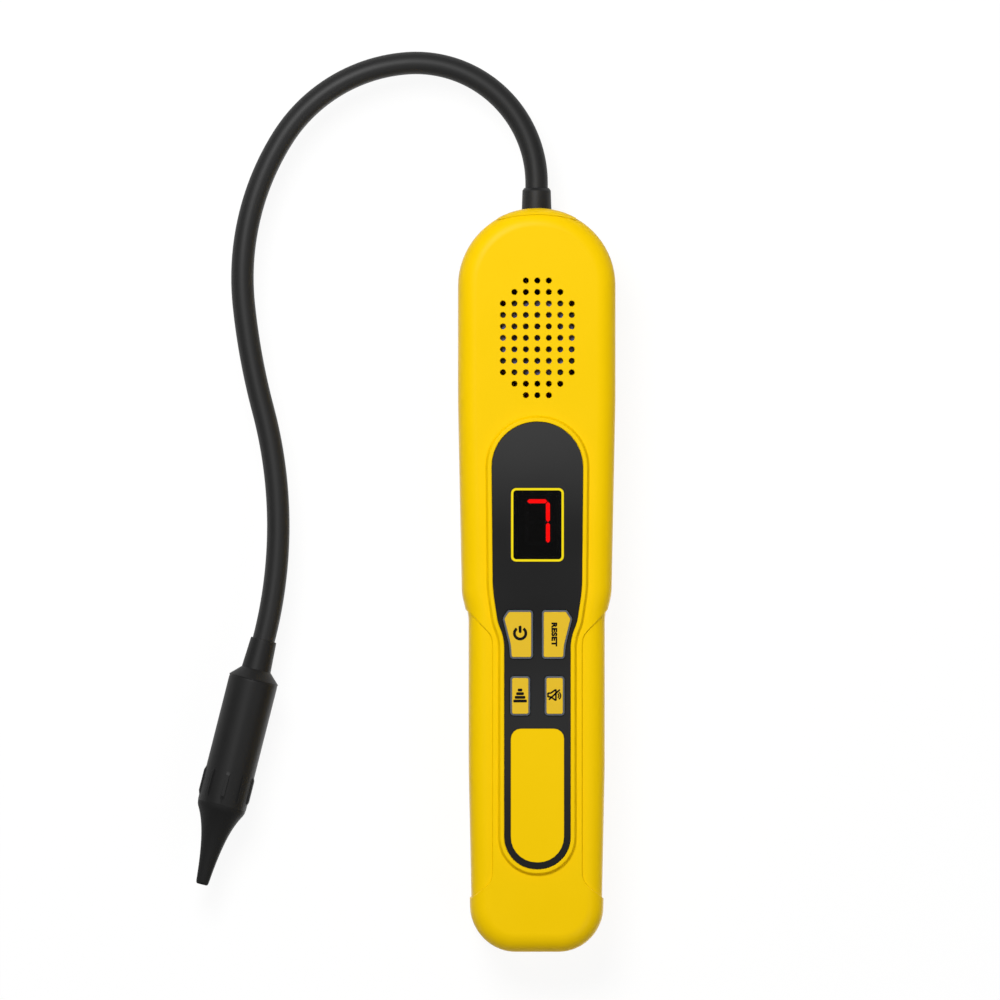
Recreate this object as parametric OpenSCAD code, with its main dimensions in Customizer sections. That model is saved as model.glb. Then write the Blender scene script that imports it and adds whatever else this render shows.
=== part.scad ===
// Hand-held refrigerant leak detector with a gooseneck probe, lying on its back.
// X runs across the casing, Y along it towards the gooseneck, Z out of the front face.
// The back lies on Z = 0 and the origin is midway along it. All sizes are in millimetres.

/* [Casing] */
// Length of the casing without the gooseneck
case_len = 240; // [236:1:270]
// Width over the rounded head
head_w = 50.6; // [50:0.2:56]
// Width at the waist
waist_w = 48.1; // [47.5:0.1:50]
// Width at the top of the grips
grip_w = 44.7; // [44.2:0.1:46.4]
// Width at the bottom, before its corners are rounded
tail_w = 42.2; // [41.8:0.1:44]
// Depth from the back to the front face
case_d = 32; // [32:0.5:40]
// Thickness of the moulded walls
wall = 2.2; // [1.8:0.1:2.4]
// Rounding of the front edge
front_edge_r = 9; // [6:0.5:9.5]
// Rounding of the back edge
back_edge_r = 5; // [3.5:0.5:5]
// Rounding of the bottom corners
tail_r = 14.5; // [12:0.5:16]
// Distance of the waist below the top
waist_drop = 124.5; // [118:0.5:126]
// Distance of the top of the grips below the waist
grip_drop = 7.1; // [6:0.1:12]

/* [Grip recesses] */
// Depth of the recess in each side
grip_recess = 0.4; // [0.3:0.1:1]
// Distance of the recess's inner edge from the middle, on the front
grip_edge = 14.3; // [13:0.1:15.5]
// Distance of the recess's upper corner below the top
recess_drop = 138; // [134:1:144]
// Distance of the recess's lower corner above the bottom
recess_rise = 22.6; // [20:0.2:28]

/* [Sound grille] */
// Distance of the grille's centre below the top
grille_drop = 41.8; // [40:0.2:44]
// Distance between neighbouring holes
hole_pitch = 3.7; // [3.4:0.1:3.8]
// Diameter of a hole
hole_d = 1.9; // [1.4:0.1:2.4]

/* [Keypad panel] */
// Distance of the panel's upper end below the top
panel_drop = 68.9; // [67:0.1:72]
// Length of the panel
panel_len = 144.3; // [140:0.1:146]
// Width of the panel round the display
panel_w = 29.7; // [28.6:0.1:31]
// Width of the panel round the lower keys
panel_foot_w = 21.3; // [20.6:0.1:22.4]
// Width of the raised bead round the panel
bead_w = 1.7; // [1.2:0.1:2]
// Height of the bead above the front face
bead_h = 1; // [0.8:0.1:1.6]
// Thickness of the overlay
overlay_t = 0.6; // [0.4:0.1:0.7]
// Width of the badge plate
badge_w = 17.1; // [15:0.1:17.6]
// Distance of the badge plate's upper edge below the panel's upper end
badge_drop = 99; // [98:0.5:110]

/* [Display] */
// Width of the window
window_w = 17; // [15.5:0.1:19]
// Height of the window
window_h = 23.7; // [22:0.1:26]
// Distance of the window's centre below the panel's upper end
window_drop = 33.2; // [30:0.1:36]
// Height of the digit
digit_h = 14.4; // [12:0.1:15]
// Width of the digit
digit_w = 7.5; // [6.5:0.1:8.5]
// Width of one bar of the digit
bar_w = 1.7; // [1.2:0.1:2]

/* [Keys] */
// Width of an upper key
upper_key_w = 9.9; // [9:0.1:10.1]
// Width of an upper key along its lower edge
upper_key_foot_w = 7.5; // [6.6:0.1:7.7]
// Height of an upper key
upper_key_h = 15.8; // [14:0.1:17]
// Distance of the upper keys below the panel's upper end
upper_key_drop = 60.7; // [58:0.1:62]
// Gap between the two upper keys
upper_key_gap = 2.8; // [2.6:0.1:3.4]
// Width of a lower key
lower_key_w = 6.5; // [5.6:0.1:6.8]
// Height of a lower key
lower_key_h = 12.8; // [11:0.1:14]
// Distance of the lower keys below the panel's upper end
lower_key_drop = 82; // [80:0.1:83.5]
// Gap between the two lower keys
lower_key_gap = 4.6; // [4:0.1:5]
// Height of the keys above the overlay
key_rise = 0.7; // [0.6:0.1:1.2]
// Travel of a key
key_travel = 0.5; // [0.3:0.1:0.6]

/* [Gooseneck] */
// Diameter of the gooseneck
neck_d = 7.3; // [6:0.1:7.6]
// Diameter of its steel core
core_d = 4.6; // [3:0.1:4.8]
// Diameter of the collar
collar_d = 9.6; // [9:0.1:11]
// Length of the collar that shows
collar_show = 6.8; // [5:0.1:10]
// Diameter of the cap in the top of the casing
cap_d = 24.8; // [22:0.2:25]
// Length of the gooseneck inside each fitting
neck_insert = 8; // [6:0.5:9]

/* [Sensor head] */
// Length of the boot
boot_len = 10.9; // [10:0.1:14]
// Length of the conical shoulder
shoulder_len = 3.2; // [2:0.1:5]
// Length of the barrel
barrel_len = 42.1; // [36:0.1:50]
// Diameter of the barrel
barrel_d = 16; // [15.4:0.1:19]
// Length of the grip ribs
rib_len = 12.4; // [8:0.1:14]
// Length of the nozzle
nozzle_len = 26.4; // [22:0.2:34]
// Diameter of the nozzle's end
tip_d = 4; // [3.6:0.1:5]

/* [Batteries] */
// Diameter of a cell
cell_d = 14.2; // [13.8:0.1:14.4]
// Length of a cell with its button
cell_len = 50.5; // [49.5:0.1:51]

/* [Hidden] */
// Room between pieces that move or are pushed together
fit = 0.2;
// Room round a piece that is only laid in place
slack = 0.3;

top_y = case_len / 2;
bottom_y = -case_len / 2;
neck_z = case_d / 2;
split_z = neck_z;
ceiling_z = case_d - wall;
bead_z = case_d + bead_h;
pocket_z = bead_z - overlay_t;

// Outlines are lists of corners [x, y, rounding, steps], clockwise from the upper right
dome_r = head_w / 2 - 0.5;
head_drop = 62;
head_blend_r = 120;
waist_blend_r = 14;
grip_blend_r = 14;
taper_rise = 60;
taper_blend_r = 200;
case_corners = both_sides([
    [head_w / 2, top_y, dome_r, 9],
    [head_w / 2, top_y - head_drop, head_blend_r, 1],
    [waist_w / 2, top_y - waist_drop, waist_blend_r, 2],
    [grip_w / 2, top_y - waist_drop - grip_drop, grip_blend_r, 2],
    [grip_w / 2, bottom_y + taper_rise, taper_blend_r, 1],
    [tail_w / 2, bottom_y, tail_r, 6]]);
front_steps = 6;
back_steps = 4;
// Grip recesses: their inner edge on the front and on the back, and the slant of their ends
back_grip_edge = tail_w / 2 - back_edge_r + 0.8;
recess_upper_slope = 1;
recess_lower_slope = 0.75;
recess_corner_r = 6;

// Keypad panel: a wide head round the display that necks down to the lower keys
end_flat = 0.3;
panel_y = top_y - panel_drop;
panel_foot_y = panel_y - panel_len;
panel_neck_drops = [54, 64.6, 70];
panel_neck_r = [30, 10, 14];
panel_taper = 0.5;
panel_corners = both_sides([
    [panel_w / 2, panel_y, panel_w / 2 - end_flat, 8],
    [panel_w / 2 - panel_taper, panel_y - panel_neck_drops[0], panel_neck_r[0], 1],
    [(panel_w + panel_foot_w) / 4, panel_y - panel_neck_drops[1], panel_neck_r[1], 2],
    [panel_foot_w / 2, panel_y - panel_neck_drops[2], panel_neck_r[2], 3],
    [panel_foot_w / 2, panel_foot_y, panel_foot_w / 2 - end_flat, 7]]);
badge_margin = 2.2;
badge_corner_r = 3.2;
badge_y = panel_y - badge_drop;
badge_foot_y = panel_foot_y + badge_margin;
badge_corners = both_sides([
    [badge_w / 2, badge_y, badge_corner_r, 4],
    [badge_w / 2, badge_foot_y, badge_w / 2 - end_flat, 7]]);
window_y = panel_y - window_drop;
window_corner_r = 1.7;
window_corners = both_sides([
    [window_w / 2, window_y + window_h / 2, window_corner_r, 4],
    [window_w / 2, window_y - window_h / 2, window_corner_r, 4]]);

// Keys on the right of the panel; those on the left mirror them
key_corner_r = 1.2;
key_cut = [1.8, 2.7];
key_bend = [0.2, 11.6];
key_bend_r = 14;
upper_key_y = panel_y - upper_key_drop;
upper_key_x = upper_key_gap / 2;
upper_key_corners = [
    [upper_key_x, upper_key_y, key_corner_r, 2],
    [upper_key_x + upper_key_w - key_cut[0], upper_key_y, key_corner_r, 2],
    [upper_key_x + upper_key_w, upper_key_y - key_cut[1], key_corner_r, 2],
    [upper_key_x + upper_key_foot_w + key_bend[0], upper_key_y - key_bend[1], key_bend_r, 2],
    [upper_key_x + upper_key_foot_w, upper_key_y - upper_key_h, key_corner_r, 2],
    [upper_key_x, upper_key_y - upper_key_h, key_corner_r, 2]];
lower_key_y = panel_y - lower_key_drop;
lower_key_x = lower_key_gap / 2;
lower_key_corners = [
    [lower_key_x, lower_key_y, key_corner_r, 2],
    [lower_key_x + lower_key_w, lower_key_y, key_corner_r, 2],
    [lower_key_x + lower_key_w, lower_key_y - lower_key_h, key_corner_r, 2],
    [lower_key_x, lower_key_y - lower_key_h, key_corner_r, 2]];
upper_switch = [upper_key_x + upper_key_foot_w / 2 + 0.5, upper_key_y - upper_key_h / 2];
lower_switch = [lower_key_x + lower_key_w / 2, lower_key_y - lower_key_h / 2];

// Case screws: two under the dome and two beside the display
case_post_d = 6.4;
dome_post = [15, top_y - 28];
side_post = [waist_w / 2 - wall - case_post_d / 2 - 2.6, window_y - 6];
case_posts = [for (side = [-1, 1], p = [dome_post, side_post]) [side * p[0], p[1]]];
case_screw_d = 2.4;
screw_head_d = 5.4;
screw_seat_z = 3;
screw_head_t = 2;
screw_grip = 9;

// Heights of the key, its plunger, its switch and the board, from the front down
key_top_z = bead_z + key_rise;
key_face_t = 0.2;
key_border = 0.55;
key_flange_w = 0.6;
key_flange_t = 1.1;
key_foot_z = ceiling_z - slack - key_flange_t;
switch_top_z = key_foot_z - key_travel - slack;
switch_h = 3;
switch_w = 6;
plunger_d = 3.2;
plunger_len = 2;
board_z = switch_top_z - switch_h;
board_t = 1.6;
board_back_z = board_z - board_t;
board_half_w = side_post[0] - case_post_d / 2 - slack;
board_y1 = window_y + window_h / 2 + 6;
board_y0 = lower_key_y - lower_key_h - 5.5;
board_post_in = 2.4;
board_posts = [for (side = [-1, 1], y = [board_y0 + board_post_in, board_y1 - board_post_in])
    [side * (board_half_w - board_post_in), y]];
board_post_d = 4.4;
board_screw_d = 1.8;

module_size = [window_w - 4.4, window_h - 4.7];
bar_t = 0.3;
module_top_z = pocket_z - slack - bar_t;
digit_middle = [0.5, window_y + 1.3];
chip_size = [10, 10, 1.5];
chip_y = window_y - 15;
header_size = [8, 8, 5];
header_y1 = board_y1 - 4;

// Speaker behind the grille
grille_y = top_y - grille_drop;
grille_rows = [3, 5, 7, 7, 7, 7, 7, 7, 7, 5, 3];
speaker_r = 13.9;
speaker_rim_t = 1.4;
speaker_h = 7.5;
magnet_r = 7.5;
cone_r = speaker_r - 2;
cone_h = 4;
cone_edge = 1;
coil_r = 3.2;
speaker_wall_t = 1.2;
speaker_wall_h = 3.4;

// Cells lie in two columns of two in a tray over the door
tray_wall = 1.2;
cell_x = (cell_d + fit) / 2;
tray_half_w = cell_d + 2 * fit;
leaf_depth = 5.5;
bridge_t = 0.5;
tray_rise = 11.5;
tray_y0 = bottom_y + tray_rise;
tray_y1 = tray_y0 + bridge_t + 2 * cell_len + leaf_depth;
door_z0 = fit;
door_z1 = wall - fit;
dovetail = 0.8;
cell_z = wall + fit + cell_d / 2;
tray_roof_z = cell_z + cell_d / 2 + fit;
tray_top_z = tray_roof_z + tray_wall;
tab_w = 3;
tab_t = 0.5;
tab_z = tray_roof_z - 3;
tab_out = 2;
thumb_grooves = 5;

// Fittings of the gooseneck in the top of the casing
cap_depth = 8.8;
cap_foot_y = top_y - cap_depth;
cap_flange_t = 2;
cap_flange_w = 0.6;
cap_proud = 0.3;
nut_t = 5;
nut_flats = 17;
collar_past_nut = 1.5;
collar_top_y = top_y + collar_show;
collar_foot_y = cap_foot_y - nut_t - collar_past_nut;
neck_foot_y = cap_foot_y;
neck_straight = 1.5;

// Route of the gooseneck as [radius, turn]: left turns are positive, radius 0 is straight
arch_r = 39;
side_r = 52;
fall_r = 85;
slack_r = 220;
return_r = 146;
neck_bends = [[0, collar_top_y - neck_foot_y + neck_straight],
    [arch_r, 94], [side_r, 54], [fall_r, 37.9], [slack_r, 9], [return_r, -29.1]];
neck_start = [0, neck_foot_y, 90];
probe_start = after_bends(neck_start, neck_bends);
neck_stations = concat(
    [neck_start],
    bend_stations(neck_start, neck_bends),
    [after_bend(probe_start, [0, neck_insert])]);
neck_route = [for (s = neck_stations) [s[0], s[1], neck_z]];
neck_sides = 16;
neck_bore_d = core_d + fit;

// Distances along the sensor head from the end of the gooseneck
barrel_t0 = boot_len + shoulder_len;
barrel_t1 = barrel_t0 + barrel_len;
barrel_bore_r = barrel_d / 2 - 1.2;
boot_r0 = neck_d / 2 + 0.65;
boot_r1 = neck_d / 2 + 1.15;
boot_lead = 1.6;
sensor_seat_t = barrel_t1 - 11;
sensor_base_t = 3;
sensor_can_r = 4.6;
sensor_can_len = 10;
spigot_len = 5;
nozzle_bore_r = sensor_can_r + 0.6;
nozzle_mouth_r = barrel_d / 2 - 0.1;
inlet_r = 0.9;
inlet_lead = 8;
nozzle_steps = 9;
nozzle_lead = 12.5;
shoulder_steps = 3;
shoulder_drop = 0.75;
shoulder_run = 2.4;
tip_chamfer = 0.5;
housing_end_t = 6;
rib_count = 9;
rib_w = 1.3;
rib_rise = 0.45;
rib_turn = 184;

lead_sides = 8;
sensor_lead_r = 1.5;
wire_r = 0.6;

// Colours as the photograph shows them
yellow = "#FFD60A";
key_yellow = "#E3BB28";
black = "#262626";
dark_grey = "#333333";
glass_black = "#101010";
red = "#FF1010";
steel = "#B8BCC0";
brass = "#C9A24A";
board_green = "#1F6B3A";

// A right side and its mirror image as one clockwise list of corners
function both_sides(right) = concat(right,
    [for (i = [len(right) - 1:-1:0]) [-right[i][0], right[i][1], right[i][2], right[i][3]]]);

function unit(v) = v / norm(v);

// Points round one corner, set in from the outline by inset
function corner_arc(before, corner, after, inset) =
    let (p = [corner[0], corner[1]],
        a = unit([before[0], before[1]] - p),
        b = unit([after[0], after[1]] - p),
        between = acos(a * b),
        centre = p + unit(a + b) * corner[2] / sin(between / 2),
        start = p + a * corner[2] / tan(between / 2) - centre,
        convex = a[0] * b[1] - a[1] * b[0] > 0,
        turn = (convex ? -1 : 1) * (180 - between),
        r = convex ? corner[2] - inset : corner[2] + inset,
        from = atan2(start[1], start[0]))
    [for (k = [0:corner[3]])
        let (angle = from + turn * k / corner[3])
        centre + r * [cos(angle), sin(angle)]];

// A whole outline, set in by inset; a negative inset makes it larger
function outline(corners, inset = 0) =
    let (n = len(corners))
    [for (i = [0:n - 1])
        each corner_arc(corners[(i + n - 1) % n], corners[i], corners[(i + 1) % n], inset)];

// Levels [z, inset] of a rounded edge that closes a form downwards or upwards
function lower_edge(z, r, steps) =
    [for (k = [0:steps]) let (a = 90 * k / steps) [z + r * (1 - cos(a)), r * (1 - sin(a))]];
function upper_edge(z, r, steps) =
    [for (k = [0:steps]) let (a = 90 * k / steps) [z - r * (1 - sin(a)), r * (1 - cos(a))]];

// Where a bend of the gooseneck ends, as [x, y, heading]
function after_bend(s, bend) =
    bend[0] == 0
    ? [s[0] + bend[1] * cos(s[2]), s[1] + bend[1] * sin(s[2]), s[2]]
    : let (side = sign(bend[1]), r = bend[0] * side, heading = s[2] + bend[1])
        [s[0] + r * (sin(heading) - sin(s[2])), s[1] - r * (cos(heading) - cos(s[2])), heading];
function after_bends(s, bends, i = 0) =
    i == len(bends) ? s : after_bends(after_bend(s, bends[i]), bends, i + 1);

// Stations along the bends, at most 8 degrees apart
function bend_stations(s, bends, i = 0) =
    i == len(bends) ? [] : let (
        bend = bends[i],
        n = bend[0] == 0 ? 1 : max(2, ceil(abs(bend[1]) / 8)))
    concat(
        [for (k = [1:n]) after_bend(s, [bend[0], bend[1] * k / n])],
        bend_stations(after_bend(s, bend), bends, i + 1));

// Solid lofted through levels of one symmetric outline
module loft(corners, levels) {
    rings = [for (l = levels) outline(corners, l[1])];
    n = len(rings[0]);
    last = (len(levels) - 1) * n;
    points = [for (j = [0:len(levels) - 1]) each [for (p = rings[j]) [p[0], p[1], levels[j][0]]]];
    sides = [for (j = [0:len(levels) - 2], i = [0:n - 1])
        [j * n + i, j * n + (i + 1) % n, (j + 1) * n + (i + 1) % n, (j + 1) * n + i]];
    top = [for (i = [0:n / 2 - 2]) [last + i, last + i + 1, last + n - 2 - i, last + n - 1 - i]];
    foot = [for (i = [0:n / 2 - 2]) [n - 1 - i, n - 2 - i, i + 1, i]];
    polyhedron(points, concat(sides, top, foot));
}

// Tube of radius r along points, with a bore where bore_r is given; across never lies along it
module tube(route, r, sides, across, bore_r = 0) {
    count = len(route);
    function along(i) = unit(route[min(i + 1, count - 1)] - route[max(i - 1, 0)]);
    function ring(i, radius) =
        let (t = along(i), u = unit(cross(t, across)), w = cross(t, u))
        [for (k = [0:sides - 1])
            let (a = 360 * k / sides) route[i] + radius * (u * cos(a) + w * sin(a))];
    outer = [for (i = [0:count - 1]) each ring(i, r)];
    inner = bore_r > 0 ? [for (i = [0:count - 1]) each ring(i, bore_r)] : [];
    base = count * sides;
    end = (count - 1) * sides;
    function wrap(k) = (k + 1) % sides;
    skin = [for (i = [0:count - 2], k = [0:sides - 1])
        [i * sides + k, (i + 1) * sides + k, (i + 1) * sides + wrap(k), i * sides + wrap(k)]];
    bore = bore_r > 0 ? [for (f = skin) [for (v = [3:-1:0]) base + f[v]]] : [];
    ends = bore_r > 0
        ? concat(
            [for (k = [0:sides - 1]) [k, wrap(k), base + wrap(k), base + k]],
            [for (k = [0:sides - 1]) [end + wrap(k), end + k, base + end + k, base + end + wrap(k)]])
        : [[for (k = [0:sides - 1]) k], [for (k = [sides - 1:-1:0]) end + k]];
    polyhedron(concat(outer, inner), concat(skin, bore, ends));
}

// Flat piece of an outline between two heights
module slab(corners, z0, z1, inset = 0) {
    translate([0, 0, z0]) linear_extrude(z1 - z0) polygon(outline(corners, inset));
}

// Body of revolution about the gooseneck's axis in the casing, from a profile [radius, y]
module on_neck(profile) {
    translate([0, 0, neck_z]) rotate([-90, 0, 0]) rotate_extrude($fn = 48) polygon(profile);
}

// Children in the sensor head's own frame, with Z along it from the end of the gooseneck
module on_probe() {
    translate([probe_start[0], probe_start[1], neck_z]) rotate([0, 90, probe_start[2]]) children();
}

module turned_on_probe(profile) {
    on_probe() rotate_extrude($fn = 48) polygon(profile);
}

// Children at each place in a list
module at_each(places) {
    for (p = places) translate([p[0], p[1], 0]) children();
}

// Upright cylinder between two heights
module post(d, z0, z1) {
    translate([0, 0, z0]) cylinder(d = d, h = z1 - z0, $fn = 32);
}

// Front and rear halves of the casing's form, set in by inset
module front_form(inset, foot_z) {
    loft(case_corners, concat([[foot_z, inset]],
        [for (l = upper_edge(case_d - inset, front_edge_r - inset, front_steps)) [l[0], l[1] + inset]]));
}

module rear_form(inset, top_z) {
    loft(case_corners, concat(
        [for (l = lower_edge(inset, back_edge_r - inset, back_steps)) [l[0], l[1] + inset]],
        [[top_z, inset]]));
}

// Plan of both grip recesses, from an inner edge outwards
module recess_plan(edge) {
    reach = 30;
    shift = edge - grip_edge;
    upper_y = top_y - recess_drop + recess_upper_slope * shift;
    lower_y = bottom_y + recess_rise - recess_lower_slope * shift;
    corners = [
        [edge, upper_y, recess_corner_r, 4],
        [edge + reach, upper_y + recess_upper_slope * reach, 1, 1],
        [edge + reach, lower_y - recess_lower_slope * reach, 1, 1],
        [edge, lower_y, recess_corner_r, 4]];
    for (side = [0, 1]) mirror([side, 0, 0]) polygon(outline(corners));
}

// Hole in the top of both shells for the cap
module cap_hole() {
    translate([0, cap_foot_y - 1, neck_z]) rotate([-90, 0, 0])
        cylinder(d = cap_d + fit, h = 2 * (top_y - cap_foot_y), $fn = 64);
}

// Both keys of a row, as openings or flanges
module key_row(corners, z0, z1, grow) {
    for (side = [0, 1]) mirror([side, 0, 0]) slab(corners, z0, z1, -grow);
}

module front_shell() {
    color(yellow) difference() {
        union() {
            difference() {
                union() {
                    difference() {
                        front_form(0, split_z);
                        difference() {
                            translate([0, 0, split_z - 1]) linear_extrude(case_d) recess_plan(grip_edge);
                            front_form(grip_recess, split_z - 2);
                        }
                    }
                    bead();
                }
                front_form(wall, split_z - 1);
            }
            at_each(case_posts) post(case_post_d, split_z, ceiling_z + wall / 4);
            at_each(board_posts) post(board_post_d, board_z, ceiling_z + wall / 4);
            speaker_wall();
        }
        at_each(case_posts) post(case_screw_d + fit / 2, split_z - 1, split_z + screw_grip + 1);
        at_each(board_posts) post(board_screw_d + fit / 2, board_z - 1, ceiling_z - 1);
        slab(panel_corners, pocket_z, bead_z + 1, -fit / 2);
        key_row(upper_key_corners, ceiling_z - 1, bead_z, fit);
        key_row(lower_key_corners, ceiling_z - 1, bead_z, fit);
        translate([-module_size[0] / 2 - slack, window_y - module_size[1] / 2 - slack, ceiling_z - 1])
            cube([module_size[0] + 2 * slack, module_size[1] + 2 * slack, case_d]);
        grille_holes();
        cap_hole();
    }
}

// Raised bead that rolls up from the front face to the panel's edge
module bead() {
    steps = 4;
    crest = 0.9;
    roll = bead_w - crest;
    loft(panel_corners, concat([[case_d - wall / 2, -bead_w]],
        [for (k = [0:steps])
            let (a = 90 * k / steps)
            [case_d + bead_h * sin(a), -crest - roll * cos(a)]]));
}

module grille_holes() {
    rows = len(grille_rows);
    for (row = [0:rows - 1], k = [0:grille_rows[row] - 1])
        translate([
            (k - (grille_rows[row] - 1) / 2) * hole_pitch,
            grille_y + ((rows - 1) / 2 - row) * hole_pitch, 0])
        post(hole_d, ceiling_z - 1, case_d + 1);
}

// Ring inside the front shell that the speaker is pushed into
module speaker_wall() {
    r = speaker_r + fit;
    translate([0, grille_y, ceiling_z - speaker_wall_h]) difference() {
        cylinder(r = r + speaker_wall_t, h = speaker_wall_h + wall / 4, $fn = 64);
        translate([0, 0, -1]) cylinder(r = r, h = speaker_wall_h + 1, $fn = 64);
    }
}

module rear_shell() {
    color(yellow) difference() {
        union() {
            difference() {
                rear_form(0, split_z);
                difference() {
                    translate([0, 0, -1]) linear_extrude(case_d) recess_plan(back_grip_edge);
                    rear_form(grip_recess, split_z + 2);
                }
                rear_form(wall, split_z + 1);
            }
            at_each(case_posts) post(case_post_d, wall / 2, split_z);
        }
        at_each(case_posts) {
            post(case_screw_d + 4 * fit, -1, split_z + 1);
            post(screw_head_d + 2 * fit, -1, screw_seat_z);
        }
        door_section(0, -1, wall + fit, bottom_y - 5, tray_y1);
        cap_hole();
    }
}

// Dovetailed length of the door or of its opening, gap smaller on each side
module door_section(gap, z0, z1, y0, y1) {
    function half(z) = tray_half_w - gap + dovetail * z / wall;
    translate([0, y1, 0]) rotate([90, 0, 0]) linear_extrude(y1 - y0)
        polygon([[-half(z0), z0], [half(z0), z0], [half(z1), z1], [-half(z1), z1]]);
}

module battery_door() {
    groove = [16, 1.2, 0.6];
    pitch = 2.4;
    first_y = tray_y1 - 8;
    color(yellow) difference() {
        intersection() {
            door_section(fit, door_z0, door_z1, bottom_y - 5, tray_y1 - fit);
            rear_form(0, split_z);
        }
        for (k = [0:thumb_grooves - 1]) translate([-groove[0] / 2, first_y - k * pitch, -1])
            cube([groove[0], groove[1], 1 + door_z0 + groove[2]]);
    }
}

module neck_cap() {
    color(yellow) difference() {
        union() {
            intersection() {
                on_neck([[0, cap_foot_y], [cap_d / 2, cap_foot_y], [cap_d / 2, top_y + 2], [0, top_y + 2]]);
                loft(case_corners, concat(
                    [for (l = lower_edge(-cap_proud, back_edge_r + cap_proud, back_steps))
                        [l[0], l[1] - cap_proud]],
                    [for (l = upper_edge(case_d + cap_proud, front_edge_r + cap_proud, front_steps))
                        [l[0], l[1] - cap_proud]]));
            }
            on_neck([[0, cap_foot_y], [cap_d / 2 + cap_flange_w, cap_foot_y],
                [cap_d / 2 + cap_flange_w, cap_foot_y + cap_flange_t], [0, cap_foot_y + cap_flange_t]]);
        }
        on_neck([[0, cap_foot_y - 1], [(collar_d + fit) / 2, cap_foot_y - 1],
            [(collar_d + fit) / 2, top_y + 3], [0, top_y + 3]]);
    }
}

module neck_nut() {
    color(brass) difference() {
        translate([0, cap_foot_y - nut_t, neck_z]) rotate([-90, 0, 0])
            cylinder(d = nut_flats / cos(30), h = nut_t, $fn = 6);
        on_neck([[0, cap_foot_y - nut_t - 1], [(collar_d + fit) / 2, cap_foot_y - nut_t - 1],
            [(collar_d + fit) / 2, cap_foot_y + 1], [0, cap_foot_y + 1]]);
    }
}

module neck_collar() {
    bore = (neck_d + fit) / 2;
    r = collar_d / 2;
    color(black) on_neck([[bore, collar_foot_y], [r, collar_foot_y], [r, top_y],
        [r - 0.25, collar_top_y - 0.7], [bore + 0.35, collar_top_y], [bore, collar_top_y]]);
}

module gooseneck_sleeve() {
    color(black) tube(neck_route, neck_d / 2, neck_sides, [0, 0, 1], neck_bore_d / 2);
}

module gooseneck_core() {
    color(steel) tube(neck_route, core_d / 2, lead_sides, [0, 0, 1]);
}

module probe_boot() {
    bore = (neck_d + fit) / 2;
    color(black) turned_on_probe([[bore, 0], [boot_r0 - 0.35, 0], [boot_r0, boot_lead], [boot_r1, boot_len],
        [core_d / 2, boot_len], [core_d / 2, neck_insert], [bore, neck_insert]]);
}

module probe_housing() {
    r = barrel_d / 2;
    entry_r = core_d / 2;
    chamber_t = boot_len + housing_end_t;
    upper_bore_r = barrel_bore_r - 0.8;
    color(black) union() {
        turned_on_probe([[entry_r, boot_len], [boot_r1, boot_len], [r - 0.4, barrel_t0],
            [r, barrel_t0 + 0.4], [r, barrel_t1], [barrel_bore_r, barrel_t1],
            [barrel_bore_r, sensor_seat_t], [upper_bore_r, sensor_seat_t],
            [upper_bore_r, chamber_t], [entry_r, chamber_t]]);
        on_probe() for (k = [0:rib_count - 1])
            rotate([0, 0, rib_turn + 360 * k / rib_count]) grip_rib();
    }
}

// One raised rib near the barrel's lower end, with sloping ends
module grip_rib() {
    r = barrel_d / 2;
    t1 = barrel_t1 - 0.3;
    t0 = t1 - rib_len;
    translate([0, rib_w / 2, 0]) rotate([90, 0, 0]) linear_extrude(rib_w)
        polygon([[r - 0.5, t0], [r, t0], [r + rib_rise, t0 + 1.4], [r + rib_rise, t1 - 1.2],
            [r, t1], [r - 0.5, t1]]);
}

// Radius of the nozzle at a distance from the barrel: a rounded shoulder, then a hyperbola to the tip
function nozzle_r(d) =
    let (shoulder_r = nozzle_mouth_r - shoulder_drop,
        near = 1 / (shoulder_run + nozzle_lead),
        far = 1 / (nozzle_len + nozzle_lead))
    d < shoulder_run
    ? nozzle_mouth_r - shoulder_drop * pow(d / shoulder_run, 2)
    : tip_d / 2 + (shoulder_r - tip_d / 2) * (1 / (d + nozzle_lead) - far) / (near - far);

module nozzle_tip() {
    spigot_r = barrel_bore_r - fit / 2;
    spigot_t = barrel_t1 - spigot_len;
    chamber_t = barrel_t1 + sensor_can_len - sensor_base_t - spigot_len + 1.5;
    end_t = barrel_t1 + nozzle_len;
    stations = concat(
        [for (k = [0:shoulder_steps - 1]) shoulder_run * k / shoulder_steps],
        [for (k = [0:nozzle_steps - 1]) shoulder_run + (nozzle_len - shoulder_run) * k / nozzle_steps]);
    color(black) turned_on_probe(concat(
        [[nozzle_bore_r, spigot_t], [spigot_r, spigot_t], [spigot_r, barrel_t1]],
        [for (d = stations) [nozzle_r(d), barrel_t1 + d]],
        [[tip_d / 2, end_t - tip_chamfer], [tip_d / 2 - tip_chamfer, end_t], [inlet_r, end_t],
            [inlet_r, chamber_t + inlet_lead], [nozzle_bore_r - 1.7, chamber_t],
            [nozzle_bore_r, chamber_t - 2]]));
}

module sensor_base() {
    t = sensor_seat_t;
    color(dark_grey) turned_on_probe([[0, t], [barrel_bore_r - fit / 2, t],
        [barrel_bore_r - fit / 2, t + sensor_base_t], [0, t + sensor_base_t]]);
}

module sensor_can() {
    t = sensor_seat_t + sensor_base_t;
    color(steel) turned_on_probe([[0, t], [sensor_can_r, t], [sensor_can_r, t + sensor_can_len - 0.6],
        [sensor_can_r - 0.6, t + sensor_can_len], [0, t + sensor_can_len]]);
}

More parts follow.
